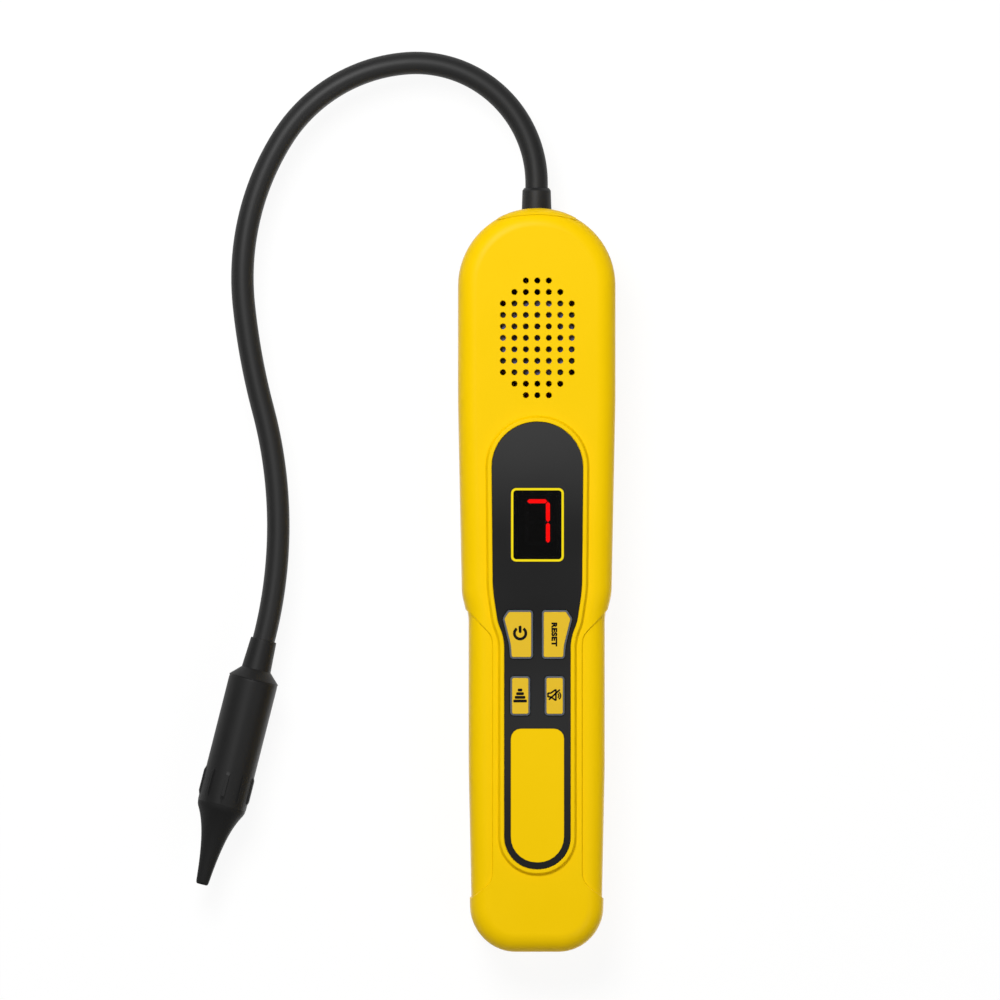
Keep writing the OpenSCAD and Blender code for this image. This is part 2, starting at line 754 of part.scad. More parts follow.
module keypad_overlay() {
    color(dark_grey) difference() {
        slab(panel_corners, pocket_z, bead_z);
        slab(window_corners, pocket_z - 1, bead_z + 1, -fit / 2);
        slab(badge_corners, pocket_z - 1, bead_z + 1, -fit / 2);
        key_row(upper_key_corners, pocket_z - 1, bead_z + 1, fit);
        key_row(lower_key_corners, pocket_z - 1, bead_z + 1, fit);
    }
}

module badge_plate() {
    color(yellow) slab(badge_corners, pocket_z, bead_z);
}

module display_window() {
    color(glass_black) slab(window_corners, pocket_z, bead_z);
}

module display_module() {
    color(glass_black) translate([-module_size[0] / 2, window_y - module_size[1] / 2, board_z])
        cube([module_size[0], module_size[1], module_top_z - board_z]);
}

// One bar of the digit, pointed at both ends, from its middle
module digit_bar(place, upright) {
    length = upright ? (digit_h - bar_w) / 2 - 0.3 : digit_w - bar_w - 0.3;
    h = bar_w / 2;
    translate([digit_middle[0] + place[0], digit_middle[1] + place[1], module_top_z])
        rotate([0, 0, upright ? 90 : 0]) linear_extrude(bar_t)
        polygon([[-length / 2, 0], [h - length / 2, h], [length / 2 - h, h],
            [length / 2, 0], [length / 2 - h, -h], [h - length / 2, -h]]);
}

module lit_segments() {
    x = (digit_w - bar_w) / 2;
    y = (digit_h - bar_w) / 2;
    color(red) union() {
        digit_bar([0, y], false);
        digit_bar([x, y / 2], true);
        digit_bar([x, -y / 2], true);
    }
}

module dark_segments() {
    x = (digit_w - bar_w) / 2;
    y = (digit_h - bar_w) / 2;
    color(dark_grey) union() {
        digit_bar([0, 0], false);
        digit_bar([0, -y], false);
        digit_bar([-x, y / 2], true);
        digit_bar([-x, -y / 2], true);
    }
}

// A key on the right of the panel: a cap with a raised face and a flange behind the wall
module key(corners) {
    color(key_yellow) union() {
        slab(corners, key_foot_z, key_foot_z + key_flange_t, -key_flange_w);
        slab(corners, key_foot_z, key_top_z - key_face_t);
        slab(corners, key_foot_z, key_top_z, key_border);
    }
}

module plunger(place) {
    color(dark_grey) translate([place[0], place[1], key_foot_z - plunger_len])
        cylinder(d = plunger_d, h = plunger_len, $fn = 32);
}

// Square push switch with a blind well for its plunger
module push_switch(place) {
    well = plunger_len - (key_foot_z - switch_top_z) + key_travel + slack;
    color(black) difference() {
        translate([place[0] - switch_w / 2, place[1] - switch_w / 2, board_z])
            cube([switch_w, switch_w, switch_h]);
        translate([place[0], place[1], switch_top_z - well])
            cylinder(d = plunger_d + fit, h = well + 1, $fn = 32);
    }
}

function left_of(place) = [-place[0], place[1]];

module circuit_board() {
    color(board_green) difference() {
        translate([-board_half_w, board_y0, board_back_z])
            cube([2 * board_half_w, board_y1 - board_y0, board_t]);
        at_each(board_posts) post(board_screw_d + 2 * fit, board_back_z - 1, board_z + 1);
    }
}

module controller_chip() {
    color(glass_black)
        translate([-chip_size[0] / 2, chip_y - chip_size[1] / 2, board_back_z - chip_size[2]])
        cube(chip_size);
}

module lead_header() {
    color("white")
        translate([-header_size[0] / 2, header_y1 - header_size[1], board_back_z - header_size[2]])
        cube(header_size);
}

module board_screws() {
    color(steel) at_each(board_posts) {
        post(board_screw_d, board_back_z, ceiling_z - 1.5);
        post(board_screw_d + 2, board_back_z - 1.4, board_back_z);
    }
}

module speaker_frame() {
    z = ceiling_z;
    color(dark_grey) translate([0, grille_y, 0]) rotate_extrude($fn = 64)
        polygon([[0, z - speaker_h], [magnet_r, z - speaker_h], [magnet_r, z - cone_h - 0.5],
            [speaker_r - 1.5, z - speaker_rim_t - 0.6], [speaker_r, z - speaker_rim_t], [speaker_r, z],
            [cone_r, z], [cone_r, z - cone_edge], [coil_r, z - cone_h], [0, z - cone_h]]);
}

module speaker_cone() {
    z = ceiling_z;
    color("#7C8594") translate([0, grille_y, 0]) rotate_extrude($fn = 64)
        polygon([[0, z - cone_h], [coil_r, z - cone_h], [cone_r, z - cone_edge], [cone_r, z - 0.6],
            [cone_r - 1, z - 0.6], [coil_r + 1.2, z - cone_h + 0.9],
            [coil_r - 0.8, z - cone_h + 1.7], [0, z - cone_h + 2]]);
}

module case_screws() {
    color(steel) at_each(case_posts) {
        post(case_screw_d, screw_seat_z, split_z + screw_grip);
        post(screw_head_d, screw_seat_z - screw_head_t, screw_seat_z);
    }
}

module battery_tray() {
    outer = both_sides([
        [tray_half_w + tray_wall, tray_y1 + tray_wall, 1, 2],
        [tray_half_w + tray_wall, tray_y0 - tray_wall, 4, 4]]);
    color(black) difference() {
        slab(outer, wall, tray_top_z);
        translate([-tray_half_w, tray_y0, wall - 1])
            cube([2 * tray_half_w, tray_y1 - tray_y0, tray_roof_z - wall + 1]);
        for (x = [-cell_x, cell_x]) translate([x - tab_w / 2 - fit, tray_y1 - 1, tab_z - fit])
            cube([tab_w + 2 * fit, tray_wall + 2, tab_t + 2 * fit]);
    }
}

// One cell with its button towards the top of the casing, or turned round
module cell(column, row, turned) {
    r = cell_d / 2;
    button = 1;
    y = tray_y0 + bridge_t + row * cell_len + (turned ? cell_len : 0);
    color(turned ? steel : brass)
        translate([column * cell_x, y, cell_z]) rotate([turned ? 90 : -90, 0, 0]) rotate_extrude($fn = 48)
        polygon([[0, 0], [r - 0.5, 0], [r, 0.5], [r, cell_len - button - 0.5],
            [r - 0.5, cell_len - button], [2.75, cell_len - button], [2.75, cell_len], [0, cell_len]]);
}

// Plate that joins the two columns at the lower end
module contact_bridge() {
    h = 9;
    color(steel) translate([-tray_half_w + fit, tray_y0, cell_z - h / 2])
        cube([2 * (tray_half_w - fit), bridge_t, h]);
}

// Sprung strip behind one column at the upper end, with a tab through the tray
module contact_leaf(column) {
    strip = 0.4;
    back = tray_y1;
    apex = tray_y1 - leaf_depth + fit;
    foot_z = wall + 2;
    color(steel) translate([column * cell_x - tab_w / 2, 0, 0]) union() {
        rotate([90, 0, 90]) linear_extrude(tab_w)
            polygon([[back, foot_z], [back, tab_z + tab_t], [back - strip, tab_z + tab_t],
                [back - strip, foot_z + 1], [apex + strip, cell_z], [back - 2, cell_z + 3],
                [back - 2 - strip, cell_z + 3.2], [apex, cell_z], [back - strip, foot_z]]);
        translate([0, back - strip, tab_z]) cube([tab_w, strip + tray_wall + tab_out, tab_t]);
    }
}

// Lead from the core of the gooseneck to the header on the board
module sensor_lead() {
    header_z = board_back_z - header_size[2] / 2;
    color(black) tube([
        [0, neck_foot_y, neck_z], [0, neck_foot_y - 4, neck_z], [0, collar_foot_y - 2, neck_z],
        [0, collar_foot_y - 10, neck_z - 0.5], [0, grille_y, neck_z - 0.5],
        [0, header_y1 + 14, neck_z], [0, header_y1 + 7, (neck_z + header_z) / 2],
        [0, header_y1 + 3, header_z], [0, header_y1, header_z]],
        sensor_lead_r, lead_sides, [1, 0, 0]);
}

// Two wires from the back of the speaker to the board
module speaker_leads() {
    back_z = ceiling_z - speaker_h;
    run_z = board_back_z - 3;
    color("firebrick") for (x = [-3, 3]) tube([
        [x, grille_y, back_z], [x, grille_y, back_z - 1], [x, grille_y - 1.5, back_z - 2.4],
        [x, grille_y - 5, run_z], [x, board_y1 + 3, run_z], [x, board_y1 - 0.5, run_z + 0.6],
        [x, board_y1 - 1.8, board_back_z - 1.2], [x, board_y1 - 1.8, board_back_z]],
        wire_r, lead_sides, [1, 0, 0]);
}

// Two wires from the tabs of the leaf contacts to the board
module battery_leads() {
    tab_y = tray_y1 + tray_wall + tab_out;
    z = tab_z + tab_t / 2;
    color("firebrick") for (x = [-cell_x, cell_x]) tube([
        [x, tab_y, z], [x, tab_y + 1.5, z], [x, tab_y + 3.4, z + 1], [x, tab_y + 4.4, z + 3],
        [x, tab_y + 4.6, board_back_z - 1.5], [x, tab_y + 4.6, board_back_z]],
        wire_r, lead_sides, [1, 0, 0]);
}

front_shell();
rear_shell();
neck_cap();
neck_nut();
neck_collar();
gooseneck_sleeve();
gooseneck_core();
probe_boot();
probe_housing();
nozzle_tip();
sensor_can();
sensor_base();
keypad_overlay();
badge_plate();
display_window();
display_module();
lit_segments();
dark_segments();
mirror([1, 0, 0]) key(upper_key_corners);  // key_power
key(upper_key_corners);  // key_reset
mirror([1, 0, 0]) key(lower_key_corners);  // key_level
key(lower_key_corners);  // key_mute
plunger(left_of(upper_switch));  // plunger_power
plunger(upper_switch);  // plunger_reset
plunger(left_of(lower_switch));  // plunger_level
plunger(lower_switch);  // plunger_mute
push_switch(left_of(upper_switch));  // switch_power
push_switch(upper_switch);  // switch_reset
push_switch(left_of(lower_switch));  // switch_level
push_switch(lower_switch);  // switch_mute
circuit_board();
controller_chip();
lead_header();
board_screws();
speaker_frame();
speaker_cone();
case_screws();
battery_tray();
cell(-1, 1, false);  // cell_1
cell(-1, 0, false);  // cell_2
cell(1, 1, true);  // cell_3
cell(1, 0, true);  // cell_4
contact_bridge();
contact_leaf(-1);  // contact_leaf_left
contact_leaf(1);  // contact_leaf_right
battery_door();
sensor_lead();
speaker_leads();
battery_leads();
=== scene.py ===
"""Looks of a hand-held refrigerant leak detector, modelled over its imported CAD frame."""

import math

import bmesh
import bpy
from bpy.props import FloatProperty, FloatVectorProperty, IntProperty, PointerProperty
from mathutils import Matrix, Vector


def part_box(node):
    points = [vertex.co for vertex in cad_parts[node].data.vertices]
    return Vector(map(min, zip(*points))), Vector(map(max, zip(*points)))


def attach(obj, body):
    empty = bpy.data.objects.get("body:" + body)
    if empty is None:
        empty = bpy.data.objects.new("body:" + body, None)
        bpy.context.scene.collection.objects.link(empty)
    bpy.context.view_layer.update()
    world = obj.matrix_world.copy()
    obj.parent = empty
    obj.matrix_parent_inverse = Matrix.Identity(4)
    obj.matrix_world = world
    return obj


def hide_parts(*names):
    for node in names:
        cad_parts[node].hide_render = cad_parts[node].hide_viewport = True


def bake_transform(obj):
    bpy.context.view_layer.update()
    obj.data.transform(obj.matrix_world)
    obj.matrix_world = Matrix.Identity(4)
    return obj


bl_info = {
    "name": "Refrigerant leak detector",
    "version": (1, 0, 0),
    "blender": (4, 5, 0),
    "location": "View3D > Sidebar > Detector",
    "description": "Models the casing, keypad, gooseneck and sensor head of a leak detector",
    "category": "Add Mesh",
}

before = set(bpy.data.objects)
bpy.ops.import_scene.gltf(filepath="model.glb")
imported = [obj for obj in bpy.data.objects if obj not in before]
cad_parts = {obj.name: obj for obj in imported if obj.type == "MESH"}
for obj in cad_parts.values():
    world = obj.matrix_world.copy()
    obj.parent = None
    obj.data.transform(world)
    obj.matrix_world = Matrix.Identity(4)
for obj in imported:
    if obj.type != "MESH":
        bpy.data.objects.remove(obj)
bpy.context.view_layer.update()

MM = 0.001
TINY = 0.00001
QUARTER = math.pi / 2


def heights(node):
    """Lowest and highest point of a CAD node, in millimetres."""
    return [corner[2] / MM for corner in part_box(node)]


# Heights in millimetres: the casing's parting line, and the underside and top of the keypad film
SPLIT = heights("front_shell")[0]
FILM_FOOT, FILM_TOP = heights("keypad_overlay")
# the bead's crest stands a little proud of the film
CREST = FILM_TOP + 0.45
# the keys' print stands up to the top of the CAD keys
KEY_TOP = heights("key_reset")[1] - 0.03
KEY_FOOT = heights("key_reset")[0]
# the casing's flat front
FACE = 32.0

# Plans in millimetres: corners of the right half as (x, y, rounding), from the lower end up
CASE_PLAN = [(21.1, -120, 14.5), (22.35, -60, 200), (22.35, -11.6, 14), (24.05, -4.5, 14),
             (25.3, 58, 120), (25.3, 120, 24.8)]
PANEL_PLAN = [(10.65, -93.2, 10.35), (10.65, -18.9, 14), (12.75, -13.5, 10), (14.35, -2.9, 30),
              (14.85, 51.1, 14.55)]
WINDOW_PLAN = [(8.5, 6.05, 1.7), (8.5, 29.75, 1.7)]
OPENING_PLAN = [(6.6, 8.1, 0.3), (6.6, 27.7, 0.3)]
# Keys on the right of the panel, counter-clockwise
UPPER_KEY = [(1.4, -25.4, 1.2), (8.9, -25.4, 1.2), (9.1, -21.2, 14), (11.3, -12.3, 1.2),
             (9.5, -9.6, 1.2), (1.4, -9.6, 1.2)]
LOWER_KEY = [(2.3, -43.7, 1.2), (8.8, -43.7, 1.2), (8.8, -30.9, 1.2), (2.3, -30.9, 1.2)]
# Degrees to each step of a large rounding, and the rounding of a corner that stays sharp
FINE = 5
SHARP = 0.01

# Keypad: gaps round the film and the keys, rise of a key's face, its border and its rim's rounding
FILM_GAP = 0.1
KEY_GAP = 0.2
KEY_FACE = 0.2
KEY_BORDER = 0.62
KEY_RIM = 0.18
# Bars of the digit as (x, y, upright), half the length of one, and half its width
LIT_BARS = [(-0.05, 25.5, False), (3.4, 22.05, True), (3.4, 15.35, True)]
UNLIT_BARS = [(-0.05, 18.7, False), (-0.05, 11.9, False), (-3.5, 22.05, True), (-3.5, 15.35, True)]
BAR_HALF, BAR_POINT = 3.27, 0.65

# Casing: holes in each row of the grille, the radius that softens its edges, and its screws
GRILLE_ROWS = [3, 5, 7, 7, 7, 7, 7, 7, 7, 5, 3]
GRILLE_Y = 78.2
SOFT = 0.12
SCREWS = [(15, 92), (-15, 92), (16.05, 11.9), (-16.05, 11.9)]
# Grips: their edges on the front and the back, the strips beside the keypad that the front ones are
# cut from, and where they lie: outwards of an x, between two y
GRIP_FRONT, GRIP_BACK = 14.3, 16.9
STRIP = 12.2
GRIP_X, GRIP_LOW, GRIP_HIGH = 11, -116, 12
# Battery door: half its width, its upper end, and the gap round it
DOOR_HALF, DOOR_END, DOOR_GAP = 14.6, -1.7, 0.2
# Cap: its foot, half the width of its front, and the gap round it; and the ends of the collar
CAP_FOOT, CAP_HALF, CAP_GAP = 111.2, 12.6, 0.15
COLLAR = (104.7, 126.8)
# Joint of the cap, seen from the front: radius of its arc, its highest point, and half its gap
JOINT_R, JOINT_TOP = 46.8, 118.0
JOINT_GAP = 0.04

# Gooseneck: its start as (x, y, heading), its bends as (radius, turn) or (0, length) where it is
# straight, and how far it runs on into the boot
NECK_START = (0, CAP_FOOT, 90)
NECK_BENDS = [(0, 17.0), (39, 94), (52, 54), (85, 37.9), (220, 9), (146, -29.1)]
NECK_IN_BOOT = 8
# Sensor head, along its axis: end of the boot, ends of the barrel, and length of the nozzle
BOOT = 10.9
BARREL = (14.1, 56.2)
NOZZLE = 26.4

# Stage: the camera's distance and lean, the middle of the picture and its width, in metres
CAMERA_FAR = 8.0
CAMERA_LEAN = math.radians(0.8)
PICTURE = (-0.01187, 0.0259, 0.018)
PICTURE_WIDTH = 0.3232


def linear(code):
    """Linear colour of an sRGB hex value."""
    parts = [int(code[i:i + 2], 16) / 255 for i in (1, 3, 5)]
    return [c / 12.92 if c <= 0.04045 else ((c + 0.055) / 1.055) ** 2.4 for c in parts]


def length(name, description, millimetres):
    """A size property in metres, with its default in millimetres."""
    return FloatProperty(name=name, description=description, default=millimetres * MM,
                         unit="LENGTH", precision=5, min=0)


def colour(name, description, code):
    """A colour property with an sRGB hex default."""
    return FloatVectorProperty(name=name, description=description, default=linear(code),
                               subtype="COLOR", min=0, max=1)


class DetectorSizes(bpy.types.PropertyGroup):
    """Sizes of the pieces that are modelled here."""

    wall: length("Wall", "Thickness of the moulded walls", 2.2)
    front_edge: length("Front edge", "Rounding of the casing's front edge", 6)
    back_edge: length("Back edge", "Rounding of the casing's back edge", 5)
    recess: length("Grip recess", "How far the grips are let in", 0.5)
    recess_slope: length("Recess slope", "Width of the slope round a grip", 0.38)
    bead_width: length("Bead width", "Width of the bead round the keypad", 2.2)
    bead_round: length("Bead rounding", "Width of the rounded outer flank of the bead", 1.05)
    hole: length("Grille hole", "Diameter of a hole of the sound grille", 1.9)
    pitch: length("Grille pitch", "Distance between neighbouring holes", 3.7)
    cap: length("Cap", "Diameter of the cap in the top of the casing", 24.8)
    neck: length("Gooseneck", "Diameter of the gooseneck", 7.3)
    collar: length("Collar", "Diameter of the collar at the foot of the gooseneck", 9.6)
    barrel: length("Barrel", "Diameter of the sensor head's barrel", 16)
    rib_rise: length("Rib", "Height of a grip rib on the barrel", 0.45)
    ribs: IntProperty(name="Ribs", description="Number of grip ribs round the barrel", default=9,
                      min=3)
    print_rise: length("Print", "Thickness of the printed signs", 0.05)


class DetectorColours(bpy.types.PropertyGroup):
    """Colours of the finishes."""

    casing: colour("Casing", "Yellow of the moulded casing", "#F8CC02")
    key_face: colour("Key face", "Ochre yellow of the key faces", "#E6BD28")
    key_edge: colour("Key edge", "Grey border of the keys", "#5A5F68")
    film: colour("Keypad film", "Near black of the keypad film", "#1E1E1E")
    # painted light: the film's two lighter tones stand in for light, lighter at the top end and
    # below the keys than in the middle
    film_top_painted_light: colour("Film top", "Charcoal that the film fades to at its top end", "#363636")
    film_keys_painted_light: colour("Film by the keys", "Dark grey that it fades to below the keys", "#2A2A2A")
    frame_line: colour("Display frame", "Yellow line round the display", "#F6DE10")
    ink: colour("Ink", "Black of the printed signs", "#060606")
    digit: colour("Digit", "Red of the lit bars", "#FF0000")
    sleeve: colour("Sleeve", "Black of the gooseneck's sleeve", "#222222")
    head: colour("Head", "Black of the sensor head", "#1C1C1C")
    nozzle: colour("Nozzle", "Black of the nozzle", "#191919")
    wrap: colour("Cell wrap", "Black of the cells' wrap", "#1F2124")
    band: colour("Cell band", "Copper band of the cells' wrap", "#B87333")
    cone: colour("Speaker cone", "Blue grey of the speaker cone", "#5F69A0")


# Selecting and shaping

def new_piece(name, add, **settings):
    """A new primitive, named, and the only thing selected."""
    bpy.ops.object.select_all(action="DESELECT")
    add(**settings)
    piece = bpy.context.object
    piece.name = piece.data.name = name
    return piece


def alone(piece):
    """Makes one piece the only thing selected, and active."""
    bpy.ops.object.select_all(action="DESELECT")
    piece.select_set(True)
    bpy.context.view_layer.objects.active = piece


def edit(piece):
    alone(piece)
    bpy.ops.object.mode_set(mode="EDIT")


def done():
    bpy.ops.object.mode_set(mode="OBJECT")


def take_all():
    """In edit mode, selects the whole mesh."""
    bpy.ops.mesh.select_all(action="SELECT")


def pick(kind, test):
    """In edit mode, selects the parts of a kind that pass a test."""
    shape = bpy.context.edit_object.data
    bpy.ops.mesh.select_mode(type=kind)
    bpy.ops.mesh.select_all(action="DESELECT")
    grid = bmesh.from_edit_mesh(shape)
    for part in {"VERT": grid.verts, "EDGE": grid.edges, "FACE": grid.faces}[kind]:
        if test(part):
            part.select_set(True)
    grid.select_flush_mode()
    bmesh.update_edit_mesh(shape)


def level(z):
    """A test for parts that lie at a height in millimetres."""
    def test(part):
        corners = part.verts if hasattr(part, "verts") else [part]
        return all(abs(v.co.z - z * MM) < TINY for v in corners)
    return test


def draw_out(z):
    """In edit mode, extrudes what is selected along Z by millimetres."""
    bpy.ops.mesh.extrude_region_move(TRANSFORM_OT_translate={"value": (0, 0, z * MM)})


def round_edges(r, segments, clamp=True):
    """In edit mode, rounds the selected edges by a radius in millimetres."""
    bpy.ops.mesh.bevel(offset=r * MM, segments=segments, profile=0.5, affect="EDGES",
                       clamp_overlap=clamp)


def face_outwards():
    """In edit mode, turns all faces outwards."""
    take_all()
    bpy.ops.mesh.normals_make_consistent(inside=False)


def paint(piece, slot):
    """In edit mode, gives the selected faces one of the piece's finishes."""
    piece.active_material_index = slot
    bpy.ops.object.material_slot_assign()


def finish_with(piece, kind, **settings):
    """Adds one modifier to a piece and applies it."""
    alone(piece)
    step = piece.modifiers.new(kind.title(), kind)
    for name, value in settings.items():
        setattr(step, name, value)
    bpy.ops.object.modifier_apply(modifier=step.name)


def break_edges(piece, width, angle):
    """Takes the edge off all corners over an angle, by a width in millimetres."""
    finish_with(piece, "BEVEL", width=width * MM, segments=2, limit_method="ANGLE",
                angle_limit=math.radians(angle))


def combine(piece, other, operation):
    """Boolean of a piece with another one, which is used up."""
    finish_with(piece, "BOOLEAN", object=other, operation=operation, solver="EXACT")
    bpy.data.objects.remove(other)


def join(name, pieces):
    """Several pieces as one object."""
    alone(pieces[0])
    for piece in pieces:
        piece.select_set(True)
    bpy.ops.object.join()
    whole = bpy.context.object
    whole.name = whole.data.name = name
    return whole


def place(piece, location=(0, 0, 0), turn=(0, 0, 0)):
    """Turns and moves a piece, in millimetres, and leaves its place in its mesh."""
    alone(piece)
    piece.rotation_euler = turn
    piece.location = Vector(location) * MM
    bpy.ops.object.transform_apply(location=True, rotation=True, scale=True)
    return piece


def along_neck(piece, y):
    """Lays a piece from its own Z axis along the gooseneck's foot, from a y."""
    return place(piece, (0, y, SPLIT), (-QUARTER, 0, 0))


def copies(piece, places):
    """Copies of a piece at (location, turn) each; the piece is used up."""
    made = []
    for location, turn in places:
        alone(piece)
        bpy.ops.object.duplicate()
        made.append(place(bpy.context.object, location, turn))
    bpy.data.objects.remove(piece)
    return made


def tidy_mesh(piece):
    """Merges doubles and turns the faces outwards."""
    edit(piece)
    take_all()
    bpy.ops.mesh.remove_doubles(threshold=0.000001)
    face_outwards()
    done()


def smooth(piece, angle):
    """Smooth shading that keeps flat faces flat and edges over the angle sharp."""
    alone(piece)
    bpy.ops.object.shade_smooth_by_angle(angle=math.radians(angle))
    finish_with(piece, "WEIGHTED_NORMAL", keep_sharp=True)


def seat(piece, body, slot, *nodes):
    """Lets a piece ride on a body in place of CAD nodes."""
    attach(piece, body)
    if nodes:
        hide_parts(*nodes)


def dress(piece, finish, angle, body, slot, *nodes):
    """Gives a piece its finish and its shading, and seats it."""
    coat(piece, finish)
    smooth(piece, angle)
    seat(piece, body, slot, *nodes)


# Plans

def mirrored(corners):
    """The mirror image of a ring of corners, or of half of one."""
    return [(-x, y, r) for x, y, r in reversed(corners)]


def both_sides(right):
    """A right half, from the lower end up, and its mirror image as one ring of corners."""
    return right + mirrored(right)


def oblong(half, y0, y1, r=SHARP):
    """Ring of corners of an oblong about the middle line."""
    return both_sides([(half, y0, r), (half, y1, r)])


def grown(corners, by):
    """A ring of corners moved outwards by millimetres, with the roundings to match."""
    ring = []
    for i, (x, y, r) in enumerate(corners):
        before, here, after = (Vector(corners[j % len(corners)][:2]) for j in (i - 1, i, i + 1))
        run_in, run_out = (here - before).normalized(), (after - here).normalized()
        out_in, out_out = Vector((run_in.y, -run_in.x)), Vector((run_out.y, -run_out.x))
        shift = (out_in + out_out) * by / (1 + out_in.dot(out_out))
        convex = run_in.x * run_out.y - run_in.y * run_out.x > 0
        ring.append((x + shift.x, y + shift.y, r + by if convex else r - by))
    return ring


def plan_sheet(name, corners, z, step):
    """Flat sheet: a ring of vertices dragged to the corners, which are then rounded."""
    sheet = new_piece(name, bpy.ops.mesh.primitive_circle_add, vertices=len(corners),
                      radius=10 * MM, fill_type="NGON")
    edit(sheet)
    for i, (x, y, _) in enumerate(corners):
        pick("VERT", lambda v: v.index == i)
        here = bmesh.from_edit_mesh(sheet.data).verts
        here.ensure_lookup_table()
        bpy.ops.transform.translate(value=Vector((x, y, z)) * MM - here[i].co)
    for i, (x, y, r) in enumerate(corners):
        here, before, after = (Vector(corners[j % len(corners)][:2]) for j in (i, i - 1, i + 1))
        turn = math.pi - (before - here).angle(after - here)
        corner = Vector((x, y, z)) * MM
        pick("VERT", lambda v: (v.co - corner).length < TINY)
        bpy.ops.mesh.bevel(affect="VERTICES", offset=r * math.tan(turn / 2) * MM, profile=0.5,
                           segments=max(2, math.ceil(math.degrees(turn) / step)),
                           clamp_overlap=False)
    done()
    return sheet


def thicken(sheet, rise):
    """Draws a flat sheet out along Z by millimetres, as a closed block."""
    edit(sheet)
    take_all()
    draw_out(rise)
    face_outwards()
    done()
    return sheet


def prism(name, corners, z0, z1, step=15):
    """Closed block of a plan between two heights."""
    return thicken(plan_sheet(name, corners, z0, step), z1 - z0)


def roll(block, z, r):
    """Rolls the edge of a block that lies at a height, by a radius in millimetres."""
    edit(block)
    pick("EDGE", level(z))
    round_edges(r, 14, clamp=False)
    done()


def turned(name, profile, sides=64, closed=True):
    """Body of revolution about Z: a ring drawn out and scaled through stations (radius, height)."""
    r, h = profile[0]
    body = new_piece(name, bpy.ops.mesh.primitive_circle_add, vertices=sides, radius=r * MM)
    place(body, (0, 0, h))
    edit(body)
    bpy.ops.mesh.select_mode(type="EDGE")
    take_all()
    for r1, h1 in profile[1:] + ([profile[0]] if closed else []):
        draw_out(h1 - h)
        bpy.ops.transform.resize(value=(r1 / r, r1 / r, 1), center_override=(0, 0, h1 * MM))
        r, h = r1, h1
    if not closed:
        for end in (profile[0][1], profile[-1][1]):
            pick("EDGE", lambda e: e.is_boundary and level(end)(e))
            bpy.ops.mesh.edge_face_add()
    done()
    tidy_mesh(body)
    return body


def cylinder(name, r, z0, z1, sides):
    """Closed upright cylinder between two heights."""
    return turned(name, [(r, z0), (r, z1)], sides, closed=False)


# Materials

# Names of the finishes, by what they are for, once they are made
FINISHES = {}


def add_node(tree, kind, inputs=None, **settings):
    """Adds a node; an input takes a value, or the socket it is linked from."""
    node = tree.nodes.new(kind)
    for name, value in settings.items():
        setattr(node, name, value)
    for name, value in (inputs or {}).items():
        if isinstance(value, bpy.types.NodeSocket):
            tree.links.new(value, node.inputs[name])
        else:
            node.inputs[name].default_value = value
    return node


def empty_material(name):
    """A material with no nodes yet, and its tree."""
    finish = bpy.data.materials.new(name)
    finish.use_nodes = True
    finish.node_tree.nodes.clear()
    return finish, finish.node_tree


def grain(tree, shader, spot, depth, roughness, shades):
    """Grain of a surface: bump from spots of a size in millimetres, and uneven gloss and shade.

    Real grain is some hundredths of a millimetre wide, too fine to show in the render, so the
    spots are drawn about ten times as coarse. Over patches of about 25 mm the roughness drifts
    between two values, and the colour between two shades, as on a real moulding.
    """
    where = add_node(tree, "ShaderNodeTexCoord").outputs["Object"]
    spots = add_node(tree, "ShaderNodeTexNoise", {
        "Vector": where, "Scale": 1 / (spot * MM), "Detail": 2.0, "Roughness": 0.6})
    bump = add_node(tree, "ShaderNodeBump", {
        "Height": spots.outputs["Fac"], "Strength": 0.35, "Distance": depth * MM})
    tree.links.new(bump.outputs["Normal"], shader.inputs["Normal"])
    patches = add_node(tree, "ShaderNodeTexNoise", {
        "Vector": where, "Scale": 1 / (25 * MM), "Detail": 3.0, "Roughness": 0.55})
    gloss = add_node(tree, "ShaderNodeMapRange", {
        "Value": patches.outputs["Fac"], "From Min": 0.3, "From Max": 0.7,
        "To Min": roughness[0], "To Max": roughness[1]})
    tree.links.new(gloss.outputs["Result"], shader.inputs["Roughness"])
    if shades:
        tint = add_node(tree, "ShaderNodeMix", {"Factor": patches.outputs["Fac"]}, data_type="RGBA")
        tint.inputs["A"].default_value = (*shades[0], 1)
        tint.inputs["B"].default_value = (*shades[1], 1)
        tree.links.new(tint.outputs["Result"], shader.inputs["Base Color"])


def make(key, name, tone, roughness, spot, depth, drift=None, ior=1.5, metallic=0.0, gloss=0.5):
    """Makes one finish with its grain, kept by its key; returns its tree and shader.

    drift are the two factors between which its colour varies.
    """
    finish, tree = empty_material(name)
    shader = add_node(tree, "ShaderNodeBsdfPrincipled", {
        "Base Color": (*tone, 1), "IOR": ior, "Metallic": metallic, "Specular IOR Level": gloss})
    add_node(tree, "ShaderNodeOutputMaterial", {"Surface": shader.outputs["BSDF"]})
    shades = [[min(1, c * by) for c in tone] for by in drift] if drift else None
    grain(tree, shader, spot, depth, roughness, shades)
    FINISHES[key] = finish.name
    return tree, shader


